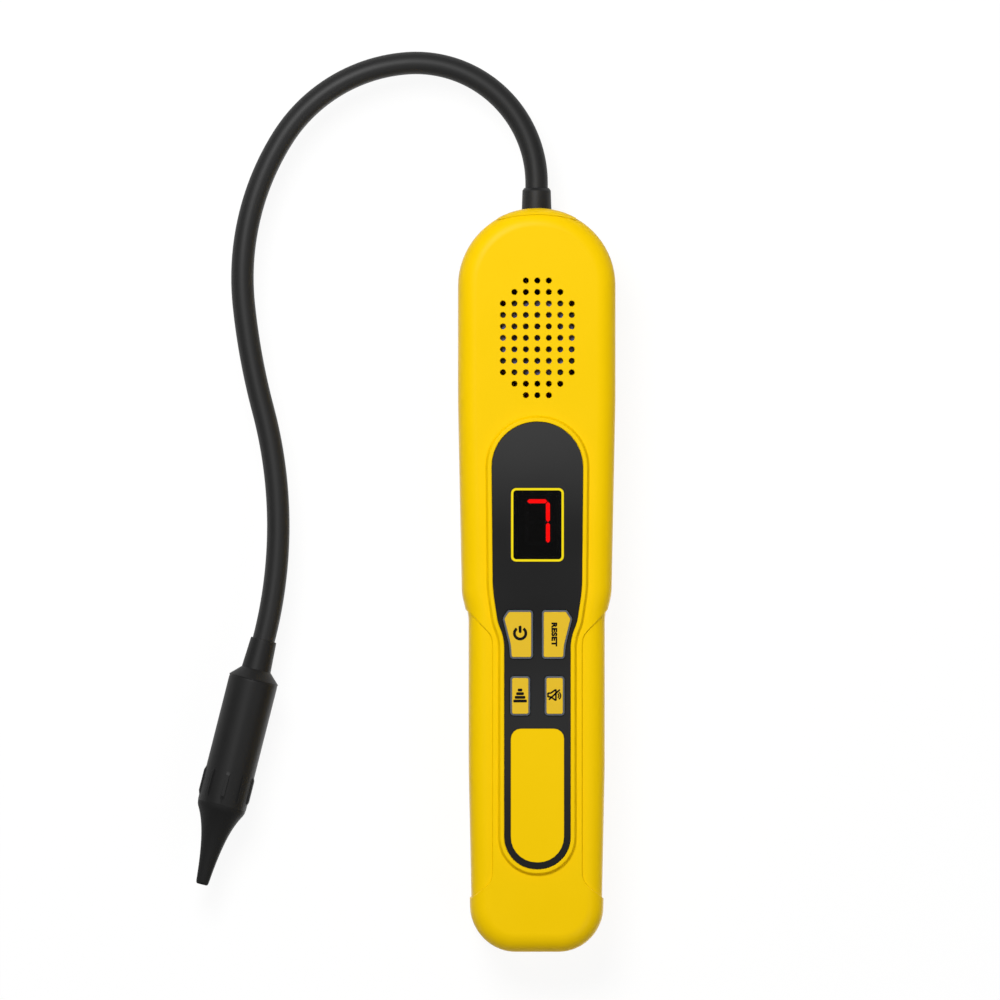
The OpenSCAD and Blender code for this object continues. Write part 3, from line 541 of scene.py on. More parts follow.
def paint_film_light(tree, shader, colours):
    """Paints light along the film's length: charcoal towards its top end, dark grey below the keys,
    and its own near black elsewhere.
    """
    low, high = PANEL_PLAN[0][1], PANEL_PLAN[-1][1]
    where = add_node(tree, "ShaderNodeTexCoord").outputs["Object"]
    along = add_node(tree, "ShaderNodeSeparateXYZ", {"Vector": where}).outputs["Y"]
    run = add_node(tree, "ShaderNodeMapRange", {
        "Value": along, "From Min": low * MM, "From Max": high * MM})
    fade = add_node(tree, "ShaderNodeValToRGB", {"Fac": run.outputs["Result"]})
    ramp = fade.color_ramp
    ramp.interpolation = "EASE"
    ramp.elements[0].color = (*colours.film, 1)
    ramp.elements[1].color = (*colours.film_top_painted_light, 1)
    for y, tone in ((-46, colours.film_keys_painted_light), (-8, colours.film), (12, colours.film)):
        ramp.elements.new((y - low) / (high - low)).color = (*tone, 1)
    tree.links.new(fade.outputs["Color"], shader.inputs["Base Color"])


def make_finishes(colours):
    """Makes all the finishes of the detector."""
    # ABS, injection moulded in a spark-eroded tool: an even satin skin with a very fine grain
    make("casing", "moulded_ABS_yellow", colours.casing, (0.32, 0.4), 0.5, 0.015, (0.98, 1.02),
         ior=1.53, gloss=0.06)
    # Silicone keys, screen printed under a matt lacquer: flat ochre without a glint
    make("key_face", "printed_silicone_ochre", colours.key_face, (0.45, 0.55), 0.4, 0.012,
         (0.97, 1.03), gloss=0.12)
    # The same silicone, moulded and left bare: a dull grey line round the face
    make("key_edge", "moulded_silicone_grey", colours.key_edge, (0.45, 0.55), 0.4, 0.012,
         gloss=0.15)
    # Opaque inks, screen printed: flat colour with hardly any sheen
    make("frame_line", "screen_printed_ink_yellow", colours.frame_line, (0.36, 0.44), 0.4, 0.008,
         gloss=0.1)
    make("ink", "screen_printed_ink_black", colours.ink, (0.45, 0.55), 0.4, 0.008, gloss=0.1)
    # Polycarbonate film with a hard coat, printed on its back: dark, with a soft sheen. Painted
    # light
    # lies over its black: it fades to charcoal at the top end and to a dark grey below the keys
    tree, shader = make("film", "printed_polycarbonate_film_painted_light", colours.film, (0.34, 0.44), 0.6,
                        0.012, ior=1.58, gloss=0.08)
    paint_film_light(tree, shader, colours)
    # Smoked acrylic, coated against glare: see-through and dark, with a weak clear gloss
    _, shader = make("pane", "coated_smoked_acrylic", linear("#707070"), (0.01, 0.03), 2.0, 0.002,
                     ior=1.34)
    shader.inputs["Transmission Weight"].default_value = 1.0
    # Clear epoxy, cast over the lamps of the digit: an even red glow, or nearly black when unlit
    _, shader = make("lit", "cast_epoxy_lit_red", colours.digit, (0.35, 0.45), 0.4, 0.01)
    shader.inputs["Emission Color"].default_value = (*colours.digit, 1)
    shader.inputs["Emission Strength"].default_value = 6.2
    make("unlit", "cast_epoxy_unlit", linear("#0C0C0C"), (0.35, 0.45), 0.4, 0.01)
    # Polycarbonate, moulded black: a deep matt ground for the digit
    make("module", "moulded_polycarbonate_black", linear("#050505"), (0.55, 0.65), 0.4, 0.015,
         gloss=0.15)
    # Soft PVC, extruded: smooth, with a broad dull sheen
    make("sleeve", "extruded_PVC_black", colours.sleeve, (0.47, 0.53), 0.6, 0.02, (0.9, 1.1),
         ior=1.53, gloss=0.25)
    # Nylon, moulded with a fine grain: a dry, faintly speckled black
    make("head", "moulded_nylon_black", colours.head, (0.46, 0.56), 0.5, 0.025, (0.9, 1.12),
         ior=1.53, gloss=0.2)
    # Silicone rubber, moulded: quite matt
    make("nozzle", "moulded_silicone_black", colours.nozzle, (0.66, 0.76), 0.5, 0.02, (0.9, 1.1),
         ior=1.41, gloss=0.3)
    # Steel, zinc plated: a bright, slightly uneven grey metal
    make("steel", "zinc_plated_steel", linear("#C4C8CC"), (0.28, 0.42), 0.3, 0.01, metallic=1.0)
    # Brass, turned: a warm metal with a clean shine
    make("brass", "turned_brass", linear("#D0A550"), (0.25, 0.38), 0.3, 0.01, metallic=1.0)
    # PVC wrap of the cells, printed and shrunk on: glossy black, with a metallic copper band
    make("wrap", "shrunk_PVC_wrap_black", colours.wrap, (0.26, 0.34), 0.8, 0.01)
    make("band", "shrunk_PVC_wrap_copper", colours.band, (0.28, 0.36), 0.8, 0.01, metallic=0.7)
    # Paper of the speaker's cone, pressed: dull and a little fibrous
    make("cone", "pressed_paper_blue_grey", colours.cone, (0.75, 0.85), 0.5, 0.03)
    # Glass epoxy board under green solder mask: an even half gloss
    make("board", "solder_masked_epoxy_green", linear("#1F6B3A"), (0.35, 0.45), 0.5, 0.01)
    # Nylon, moulded white: milky and half matt
    make("white", "moulded_nylon_white", linear("#E4E2DA"), (0.45, 0.55), 0.5, 0.015)
    # PVC of the wires, extruded: plain red with a soft shine
    make("wire", "extruded_PVC_red", linear("#A01818"), (0.36, 0.44), 0.4, 0.01)


def coat(piece, *names):
    """Gives a piece its finishes, in the order of its material slots."""
    piece.data.materials.clear()
    for name in names:
        piece.data.materials.append(bpy.data.materials[FINISHES[name]])


class DETECTOR_OT_finishes(bpy.types.Operator):
    """Makes the finishes of all the pieces"""

    bl_idname = "detector.finishes"
    bl_label = "Finishes"

    def execute(self, context):
        make_finishes(context.scene.detector_colours)
        return {"FINISHED"}


# Casing

def fillet(points, r, steps):
    """A broken line in millimetres with its inner corners rounded."""
    line = [Vector(points[0])]
    for before, here, after in zip(points, points[1:], points[2:]):
        here = Vector(here)
        a, b = (Vector(before) - here).normalized(), (Vector(after) - here).normalized()
        run = r / math.tan(a.angle(b) / 2)
        start, end = here + a * run, here + b * run
        for k in range(steps + 1):
            t = k / steps
            line.append(start * (1 - t) ** 2 + here * 2 * t * (1 - t) + end * t ** 2)
    return line + [Vector(points[-1])]


def grip_line(edge):
    """Edge of the right-hand grip in plan, from its upper end to its lower one."""
    shift, reach, slant = edge - GRIP_FRONT, 14, 0.75
    upper, lower = -18 + shift, -97.4 - slant * shift
    return fillet([(edge + reach, upper + reach), (edge, upper), (edge, lower),
                   (edge + reach, lower - slant * reach)], 6, 4)


def press_grips(moulding, line, sizes):
    """Lets the grips in: the skin is cut along the line on both sides and set back with a step."""
    edit(moulding)
    # strips beside the keypad are parted from the flat face, so that the cuts reach them
    for x in (STRIP, -STRIP):
        pick("FACE", lambda f: abs(f.normal.z) > 0.999)
        bpy.ops.mesh.bisect(plane_co=(x * MM, 0, 0), plane_no=(1, 0, 0))
    for side in (1, -1):
        edge = [Vector((side * p.x, p.y, 0)) * MM for p in line]
        cuts = [(p, Vector((q.y - p.y, p.x - q.x, 0)).normalized() * -side)
                for p, q in zip(edge, edge[1:])]
        for p, across in cuts:
            pick("FACE", lambda f: side * f.calc_center_median().x > GRIP_X * MM
                 and GRIP_LOW * MM < f.calc_center_median().y < GRIP_HIGH * MM)
            bpy.ops.mesh.bisect(plane_co=p, plane_no=across)
        pick("FACE", lambda f: all((f.calc_center_median() - p).dot(across) > TINY
                                   for p, across in cuts))
        bpy.ops.mesh.inset(thickness=sizes.recess_slope, depth=-sizes.recess, use_boundary=False)
    done()


def shell(name, end, edge_r, line, sizes):
    """One half of the casing: drawn out, its far edge rolled, its grips let in, and hollowed."""
    moulding = prism(name, both_sides(CASE_PLAN), SPLIT, end, FINE)
    roll(moulding, end, edge_r / MM)
    edit(moulding)
    pick("FACE", level(SPLIT))
    bpy.ops.mesh.delete(type="FACE")
    done()
    press_grips(moulding, line, sizes)
    coat(moulding, "casing", "casing")
    finish_with(moulding, "SOLIDIFY", thickness=sizes.wall, offset=-1, material_offset=1)
    edit(moulding)
    # soften the step round the grips and the parting line, on the outside only
    pick("EDGE", lambda e: e.calc_face_angle(0) > 0.35 and not level(SPLIT)(e)
         and all(f.material_index == 0 for f in e.link_faces))
    round_edges(SOFT, 2)
    pick("EDGE", lambda e: level(SPLIT)(e) and any(abs(f.normal.z) < 0.5 and f.material_index == 0
                                                   for f in e.link_faces))
    round_edges(0.22, 2)
    done()
    return moulding


def bead_block(sizes):
    """Raised bed of the keypad: a bead with a rounded flank, and a pocket for the film."""
    outline = grown(both_sides(PANEL_PLAN), sizes.bead_width / MM)
    bed = prism("bead", outline, FACE - 1, FACE, FINE)
    edit(bed)
    pick("FACE", level(FACE))
    # the flank is a smooth wave, hollow at its foot and round at the crest
    steps, rise = 8, (CREST - FACE) * MM
    wave = [rise * (1 - math.cos(math.pi * k / steps)) / 2 for k in range(steps + 1)]
    for k in range(steps):
        bpy.ops.mesh.inset(thickness=sizes.bead_round / steps, depth=wave[k + 1] - wave[k])
    bpy.ops.mesh.inset(thickness=sizes.bead_width - sizes.bead_round - FILM_GAP * MM)
    draw_out(FILM_FOOT - CREST)
    pick("EDGE", lambda e: level(CREST)(e) and any(abs(f.normal.z) < 0.1 for f in e.link_faces))
    round_edges(0.18, 3)
    done()
    return bed


def grille_cutter(sizes):
    """The drilled holes of the sound grille, each with a broken edge."""
    r, pitch, edge = sizes.hole / 2 / MM, sizes.pitch / MM, 0.15
    drill = turned("drill", [(r, FACE - 4), (r, FACE - edge), (r + edge, FACE),
                             (r + edge, FACE + 0.5)], 20, closed=False)
    places = []
    for row, count in enumerate(GRILLE_ROWS):
        y = GRILLE_Y + ((len(GRILLE_ROWS) - 1) / 2 - row) * pitch
        for k in range(count):
            places.append((((k - (count - 1) / 2) * pitch, y, 0), (0, 0, 0)))
    return join("drills", copies(drill, places))


def joint_bar(by, z0, z1):
    """Upright bar that ends at the arc of the cap's joint, made larger by millimetres."""
    return place(cylinder("arc", JOINT_R + by, z0, z1, 240), (0, JOINT_TOP - JOINT_R, 0))


def before_joint(half, by, z):
    """Block over the casing's top, in front of the arc that its joint with the cap makes."""
    block = prism("joint", oblong(half, 112, 124), z, 40)
    combine(block, joint_bar(by, z - 1, 41), "DIFFERENCE")
    return block


def cap_cutter(sizes):
    """Round bar along the gooseneck's axis that makes room for the cap."""
    return along_neck(cylinder("cap_bar", sizes.cap / 2 / MM + CAP_GAP, 0, 20, 96), CAP_FOOT - 1)


def door_block(name, gap, z0, z1, end):
    """Dovetailed bar that the door, or its way through the back, is cut from."""
    block = prism(name, oblong(DOOR_HALF, -130, end), z0, z1)
    edit(block)
    for z in (z0, z1):
        half = DOOR_HALF - gap + 0.8 * z / 2.2
        pick("VERT", level(z))
        bpy.ops.transform.resize(value=(half / DOOR_HALF, 1, 1), center_override=(0, 0, z * MM))
    done()
    return block


class DETECTOR_OT_front_moulding(bpy.types.Operator):
    """Models the front half of the casing with its bead, grips, grille and openings"""

    bl_idname = "detector.front_moulding"
    bl_label = "Front moulding"

    def execute(self, context):
        sizes = context.scene.detector_sizes
        front = shell("front_moulding", FACE, sizes.front_edge, grip_line(GRIP_FRONT), sizes)
        combine(front, bead_block(sizes), "UNION")
        openings = [grille_cutter(sizes), cap_cutter(sizes),
                    prism("opening", both_sides(OPENING_PLAN), KEY_FOOT, FILM_TOP)]
        for key in (UPPER_KEY, LOWER_KEY):
            for corners in (key, mirrored(key)):
                openings.append(prism("opening", grown(corners, KEY_GAP), KEY_FOOT, FILM_TOP))
        combine(front, join("openings", openings), "DIFFERENCE")
        combine(front, before_joint(CAP_HALF + CAP_GAP, -JOINT_GAP, SPLIT - 1), "DIFFERENCE")
        dress(front, "casing", 35, "casing", "yellow_moulding", "front_shell")
        return {"FINISHED"}


class DETECTOR_OT_rear_moulding(bpy.types.Operator):
    """Models the rear half of the casing with its screw holes and the battery door's opening"""

    bl_idname = "detector.rear_moulding"
    bl_label = "Rear moulding"

    def execute(self, context):
        sizes = context.scene.detector_sizes
        rear = shell("rear_moulding", 0, sizes.back_edge, grip_line(GRIP_BACK), sizes)
        cutters = [cap_cutter(sizes), door_block("door_way", 0, -1, 2.4, DOOR_END + DOOR_GAP)]
        for x, y in SCREWS:
            hole = turned("screw_hole", [(3.3, -1), (3.3, 0), (2.9, 0.4), (2.9, 3)], 40,
                          closed=False)
            cutters.append(place(hole, (x, y, 0)))
        combine(rear, join("cutters", cutters), "DIFFERENCE")
        dress(rear, "casing", 35, "casing", "yellow_moulding", "rear_shell")
        return {"FINISHED"}


class DETECTOR_OT_battery_door(bpy.types.Operator):
    """Models the sliding battery door with its thumb grooves"""

    bl_idname = "detector.battery_door"
    bl_label = "Battery door"

    def execute(self, context):
        sizes = context.scene.detector_sizes
        door = prism("battery_door_moulding", both_sides(CASE_PLAN), SPLIT, 0, FINE)
        roll(door, 0, sizes.back_edge / MM)
        combine(door, door_block("door_bar", DOOR_GAP, 0.2, 2.0, DOOR_END), "INTERSECT")
        grooves = [place(cylinder("groove", 0.8, -8, 8, 24), (0, DOOR_END - 7 - 2.4 * k, 0),
                         (0, QUARTER, 0)) for k in range(5)]
        combine(door, join("grooves", grooves), "DIFFERENCE")
        break_edges(door, 0.15, 50)
        dress(door, "casing", 35, "door", "yellow_moulding", "battery_door")
        return {"FINISHED"}


class DETECTOR_OT_case_screws(bpy.types.Operator):
    """Models the four casing screws with their cross recesses"""

    bl_idname = "detector.case_screws"
    bl_label = "Casing screws"

    def execute(self, context):
        screw = turned("screw", [(0.6, 1.0), (1.9, 1.0), (2.5, 1.25), (2.7, 1.7), (2.7, 3),
                                 (1.2, 3), (1.2, 24)], 40, closed=False)
        for turn in (0, QUARTER):
            slot = prism("slot", oblong(1.5, -0.3, 0.3, 0.1), 0.5, 2.0)
            combine(screw, place(slot, turn=(0, 0, turn)), "DIFFERENCE")
        # each one was driven home at its own angle
        places = [((x, y, 0), (0, 0, 0.4 * i)) for i, (x, y) in enumerate(SCREWS)]
        screws = join("casing_screws", copies(screw, places))
        dress(screws, "steel", 35, "casing", "spring_steel", "case_screws")
        return {"FINISHED"}


# Gooseneck and sensor head

def after_bends(start, bends):
    """Where the gooseneck has got to after some bends, as (x, y, heading)."""
    x, y, heading = start
    for r, turn in bends:
        a = math.radians(heading)
        if r == 0:
            x, y = x + turn * math.cos(a), y + turn * math.sin(a)
        else:
            side = math.copysign(r, turn)
            b = math.radians(heading + turn)
            x, y = x + side * (math.sin(b) - math.sin(a)), y - side * (math.cos(b) - math.cos(a))
            heading += turn
    return x, y, heading


PROBE = after_bends(NECK_START, NECK_BENDS)


def on_probe(piece):
    """Moves a piece from its own Z axis onto the sensor head's axis."""
    return place(piece, (PROBE[0], PROBE[1], SPLIT), (0, QUARTER, math.radians(PROBE[2])))


class DETECTOR_OT_neck_fittings(bpy.types.Operator):
    """Models the cap in the top of the casing and the collar on it"""

    bl_idname = "detector.neck_fittings"
    bl_label = "Neck fittings"

    def execute(self, context):
        sizes = context.scene.detector_sizes
        cap_r, collar_r = sizes.cap / 2 / MM, sizes.collar / 2 / MM
        # the cap is cut from the casing's own form, a little proud of it
        proud = 0.15
        cap = prism("neck_cap_moulding", grown(both_sides(CASE_PLAN), proud), -proud, FACE + proud,
                    FINE)
        roll(cap, FACE + proud, sizes.front_edge / MM + proud)
        roll(cap, -proud, sizes.back_edge / MM + proud)
        plug = along_neck(cylinder("plug", cap_r - CAP_GAP, 0, 12, 96), CAP_FOOT)
        combine(plug, before_joint(CAP_HALF, JOINT_GAP, SPLIT + 0.1), "UNION")
        combine(cap, plug, "INTERSECT")
        bore = along_neck(cylinder("bore", collar_r + 0.1, -1, 14, 64), CAP_FOOT)
        combine(cap, bore, "DIFFERENCE")
        # groove behind the cap's edge, which shows as the dark joint across the top of the casing
        groove = turned("groove", [(11.2, -2), (14, -2), (14, 9), (11.2, 9)], 96)
        combine(along_neck(groove, CAP_FOOT), joint_bar(JOINT_GAP + 0.02, SPLIT, 40), "INTERSECT")
        combine(cap, groove, "DIFFERENCE")
        break_edges(cap, SOFT, 40)
        dress(cap, "casing", 35, "casing", "yellow_moulding", "neck_cap")

        r, bore_r, (foot, top) = collar_r, sizes.neck / 2 / MM + 0.1, COLLAR
        collar = turned("neck_collar_moulding", [
            (bore_r, foot), (r, foot), (r, 120), (r - 0.2, top - 0.9), (r - 0.3, top - 0.75),
            (bore_r + 0.3, top - 0.1), (bore_r + 0.15, top), (bore_r, top)])
        dress(along_neck(collar, 0), "sleeve", 30, "casing", "black_plastic", "neck_collar")
        return {"FINISHED"}


class DETECTOR_OT_gooseneck(bpy.types.Operator):
    """Models the gooseneck: a disc drawn out straight and spun through each bend"""

    bl_idname = "detector.gooseneck"
    bl_label = "Gooseneck"

    def execute(self, context):
        sizes = context.scene.detector_sizes
        sleeve = new_piece("gooseneck_skin", bpy.ops.mesh.primitive_circle_add, vertices=36,
                           radius=sizes.neck / 2, fill_type="NGON")
        along_neck(sleeve, CAP_FOOT)
        edit(sleeve)
        bpy.ops.mesh.select_mode(type="FACE")
        take_all()
        for i, (r, turn) in enumerate(NECK_BENDS + [(0, NECK_IN_BOOT)]):
            x, y, heading = after_bends(NECK_START, NECK_BENDS[:i])
            a = math.radians(heading)
            if r == 0:
                for _ in range(4):
                    bpy.ops.mesh.extrude_region_move(TRANSFORM_OT_translate={
                        "value": Vector((math.cos(a), math.sin(a), 0)) * turn / 4 * MM})
            else:
                side = math.copysign(r, turn)
                centre = Vector((x - side * math.sin(a), y + side * math.cos(a), SPLIT)) * MM
                bpy.ops.mesh.spin(steps=max(6, math.ceil(abs(turn) * max(r, 60) / 130)),
                                  angle=-math.radians(turn), center=centre, axis=(0, 0, 1))
        done()
        tidy_mesh(sleeve)
        coat(sleeve, "sleeve")
        smooth(sleeve, 50)
        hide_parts("gooseneck_sleeve", "gooseneck_core")
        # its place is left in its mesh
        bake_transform(sleeve)
        return {"FINISHED"}


def barrel_ribs(r, end, sizes):
    """The grip ribs round the barrel: one with sloping ends, and its copies."""
    foot, top, long = r - 0.5, r + sizes.rib_rise / MM, 12.4
    middle = end - 0.3 - long / 2
    rib = new_piece("rib", bpy.ops.mesh.primitive_cube_add, size=MM)
    rib.scale = (top - foot, 1.3, long)
    place(rib, ((foot + top) / 2, 0, middle))
    edit(rib)
    pick("VERT", lambda v: v.co.x > (top - 0.01) * MM)
    bpy.ops.transform.resize(value=(1, 0.85, (long - 5.6) / long),
                             center_override=(top * MM, 0, middle * MM))
    pick("EDGE", lambda e: all(v.co.x > (top - 0.01) * MM for v in e.verts))
    round_edges(SOFT, 2)
    done()
    places = [((0, 0, 0), (0, 0, math.radians(184) + 2 * math.pi * k / sizes.ribs))
              for k in range(sizes.ribs)]
    return join("ribs", copies(rib, places))


def nozzle_flare(mouth, tip, end):
    """Stations of the nozzle's outside: a round shoulder, then a hollow flare to the tip."""
    run, drop, lead = 2.4, 0.75, 12.5
    near, far = 1 / (run + lead), 1 / (NOZZLE + lead)
    stations = []
    for k in range(8):
        d = run * k / 8
        stations.append((mouth - drop * (d / run) ** 2, end + d))
    for k in range(25):
        d = run + (NOZZLE - run) * k / 25
        share = (1 / (d + lead) - far) / (near - far)
        stations.append((tip + (mouth - drop - tip) * share, end + d))
    return stations


class DETECTOR_OT_sensor_head(bpy.types.Operator):
    """Models the boot, the ribbed barrel and the nozzle"""

    bl_idname = "detector.sensor_head"
    bl_label = "Sensor head"

    def execute(self, context):
        sizes = context.scene.detector_sizes
        neck_r, bore = sizes.neck / 2 / MM, 2.3
        boot = turned("probe_boot_moulding", [
            (neck_r + 0.1, 1.0), (neck_r + 0.4, 1.0), (neck_r + 0.55, 1.15), (neck_r + 0.6, 1.4),
            (neck_r + 0.85, 6), (neck_r + 1.15, BOOT), (bore, BOOT), (bore, NECK_IN_BOOT),
            (neck_r + 0.1, NECK_IN_BOOT)])
        dress(on_probe(boot), "head", 30, "sensor_head", "black_sleeve", "probe_boot")

        r, (start, end) = sizes.barrel / 2 / MM, BARREL
        barrel = turned("probe_barrel", [
            (bore, BOOT), (neck_r + 1.15, BOOT), (neck_r + 1.35, BOOT + 0.2),
            (r - 0.1, start - 0.15), (r + 0.08, start + 0.05), (r + 0.08, start + 0.2),
            (r - 0.08, start + 0.4), (r, start + 1.2), (r, end - 0.35), (r - 0.1, end), (6.8, end),
            (6.8, end - 11), (6.0, end - 11), (6.0, BOOT + 6), (bore, BOOT + 6)], 96)
        combine(barrel, barrel_ribs(r, end, sizes), "UNION")
        dress(on_probe(barrel), "head", 25, "sensor_head", "black_plastic", "probe_housing")

        tip, point = 2.0, end + NOZZLE
        nozzle = turned("nozzle_moulding", [
            (5.2, end - 5), (6.7, end - 5), (6.7, end + 0.02), *nozzle_flare(r - 0.1, tip, end),
            (tip, point - 0.6), (tip - 0.1, point - 0.3), (tip - 0.3, point - 0.08),
            (tip - 0.55, point), (1.1, point), (0.9, point - 0.25), (0.9, end + 11.5),
            (3.5, end + 3.5), (5.2, end + 1.5)], 96)
        dress(on_probe(nozzle), "nozzle", 30, "sensor_head", "black_plastic", "nozzle_tip")
        return {"FINISHED"}


# Keypad

def printed(name, flat_pieces, top, sizes, finish="ink"):
    """Flat pieces joined as one printed sign that stands just proud of a surface."""
    sign = thicken(join(name, flat_pieces), sizes.print_rise / MM)
    place(sign, (0, 0, top - 0.02))
    coat(sign, finish)
    return sign


def bar(x, y, w, h, turn=0.0):
    """Flat bar for a sign, from its middle."""
    piece = new_piece("bar", bpy.ops.mesh.primitive_plane_add, size=MM)
    piece.scale = (w, h, 1)
    place(piece)
    edit(piece)
    take_all()
    bpy.ops.mesh.bevel(affect="VERTICES", offset=min(w, h) * 0.35 * MM, segments=3, profile=0.5)
    done()
    return place(piece, (x, y, 0), (0, 0, turn))


def hollow_out(sheet, width):
    """Leaves a border of a flat sheet, of a width in millimetres."""
    edit(sheet)
    take_all()
    bpy.ops.mesh.inset(thickness=width * MM)
    bpy.ops.mesh.delete(type="FACE")
    done()
    return sheet


def arc(x, y, r, line, start, end):
    """Flat arc for a sign: the part of a ring between two angles."""
    piece = new_piece("arc", bpy.ops.mesh.primitive_circle_add, vertices=72,
                      radius=(r + line / 2) * MM, fill_type="NGON")
    hollow_out(piece, line)

    def outside(face):
        middle = face.calc_center_median()
        return not start <= math.degrees(math.atan2(middle.y, middle.x)) % 360 <= end
    edit(piece)
    pick("FACE", outside)
    bpy.ops.mesh.delete(type="FACE")
    done()
    return place(piece, (x, y, 0))


def power_sign():
    """A ring, open at the top, with a bar in the gap."""
    x, y, r, line = -5.6, -17.1, 1.84, 0.92
    return [arc(x, y, r, line, 0, 54), arc(x, y, r, line, 126, 360), bar(x, y + 1.28, line, 2.35)]


def level_sign():
    """Four bars that grow towards the user."""
    x, high = -5.62, 0.94
    return [bar(x, y, w, high)
            for y, w in ((-35.4, 1.5), (-36.58, 2.5), (-37.76, 3.45), (-38.94, 4.4))]


def mute_sign():
    """A loudspeaker in outline with two waves, struck through."""
    x, y, line, thin = 5.4, -37.0, 0.54, 0.44
    bars = [(-2.0, 0, line, 1.5, 0), (-1.6, 0.6, 0.9, line, 0), (-1.6, -0.6, 0.9, line, 0),
            (-0.35, 1.15, 2.2, line, 0.62), (-0.35, -1.15, 2.2, line, -0.62),
            (0.55, 0, line, 3.7, 0), (0.05, 0.1, 4.9, line, 0.74)]
    waves = [(0.75, 0, 60), (0.75, 300, 360), (1.35, 0, 55), (1.35, 305, 360)]
    return ([bar(x + u, y + v, w, h, turn) for u, v, w, h, turn in bars]
            + [arc(x + 0.75, y - 0.25, r, thin, start, end) for r, start, end in waves])


def reset_sign():
    """The word, set to its printed size and turned to read down the key."""
    word = new_piece("word", bpy.ops.object.text_add)
    word.data.body = "RESET"
    word.data.align_x, word.data.align_y = "CENTER", "CENTER"
    word.data.size = 2.6 * MM
    word.data.offset = 0.17 * MM
    word.data.space_character = 1.12
    word.data.resolution_u = 4
    bpy.ops.object.convert(target="MESH")
    word = bpy.context.object
    flat = word.dimensions.copy()
    word.scale = (7.7 * MM / flat.x, 1.9 * MM / flat.y, 1)
    return [place(word, (5.35, -17.4, 0), (0, 0, -QUARTER))]


def key_cap(name, corners):
    """One key: a grey rim with a raised ochre face, both with broken edges."""
    rim = KEY_TOP - KEY_FACE
    cap = prism(name, corners, KEY_FOOT, rim, 12)
    coat(cap, "key_edge", "key_face")
    edit(cap)
    pick("EDGE", level(rim))
    round_edges(KEY_RIM, 3, clamp=False)
    pick("FACE", level(rim))
    bpy.ops.mesh.inset(thickness=(KEY_BORDER - KEY_RIM) * MM)
    draw_out(KEY_FACE)
    pick("FACE", lambda f: f.calc_center_median().z > rim * MM + TINY)
    paint(cap, 1)
    pick("EDGE", level(KEY_TOP))
    round_edges(SOFT, 3, clamp=False)
    done()
    smooth(cap, 30)
    return cap


class DETECTOR_OT_keys(bpy.types.Operator):
    """Models the four keys with their raised faces and printed signs"""

    bl_idname = "detector.keys"
    bl_label = "Keys"

    def execute(self, context):
        sizes = context.scene.detector_sizes
        for key, corners, sign_pieces in (("power", mirrored(UPPER_KEY), power_sign),
                                          ("reset", UPPER_KEY, reset_sign),
                                          ("level", mirrored(LOWER_KEY), level_sign),
                                          ("mute", LOWER_KEY, mute_sign)):
            cap = key_cap("keycap_" + key, corners)
            seat(cap, key + "_key", "key_yellow", "key_" + key)
            sign = printed("sign_" + key, sign_pieces(), KEY_TOP, sizes)
            seat(sign, key + "_key", "black_plastic")
        return {"FINISHED"}


def digit_bars(name, places):
    """Bars of the digit, each a block with pointed ends, lying or upright."""
    low, high = heights("lit_segments")
    half, point, r = BAR_HALF, BAR_POINT, 0.12
    lying = [(-half, 0, r), (point - half, -point, r), (half - point, -point, r),
             (half, 0, r), (half - point, point, r), (point - half, point, r)]
    bars = []
    for x, y, upright in places:
        corners = [(-v, u, r) for u, v, r in lying] if upright else lying
        bars.append(place(prism("digit_bar", corners, low, high), (x, y, 0)))
    return join(name, bars)


class DETECTOR_OT_display(bpy.types.Operator):
    """Models the bars of the digit, prints the line round the display and gives its finishes"""

    bl_idname = "detector.display"
    bl_label = "Display"

    def execute(self, context):
        sizes = context.scene.detector_sizes
        window = both_sides(WINDOW_PLAN)
        line = hollow_out(plan_sheet("display_line", window, 0, 10), 0.72)
        line = printed("display_line", [line], FILM_TOP, sizes, "frame_line")
        seat(line, "casing", "yellow_moulding")
        # black print under the pane hides the ledge that it lies on
        mask = hollow_out(plan_sheet("display_mask", grown(window, -0.3), 0, 10), 1.9)
        mask = printed("display_mask", [mask], FILM_FOOT + 0.05, sizes)
        seat(mask, "casing", "black_plastic")
        lit = digit_bars("digit_lit", LIT_BARS)
        dress(lit, "lit", 30, "casing", "lit_red", "lit_segments")
        unlit = digit_bars("digit_unlit", UNLIT_BARS)
        dress(unlit, "unlit", 30, "casing", "unlit_grey", "dark_segments")
        for node, finish in (("keypad_overlay", "film"), ("badge_plate", "casing"),
                             ("display_window", "pane"), ("display_module", "module")):
            coat(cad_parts[node], finish)
        return {"FINISHED"}


# Inside

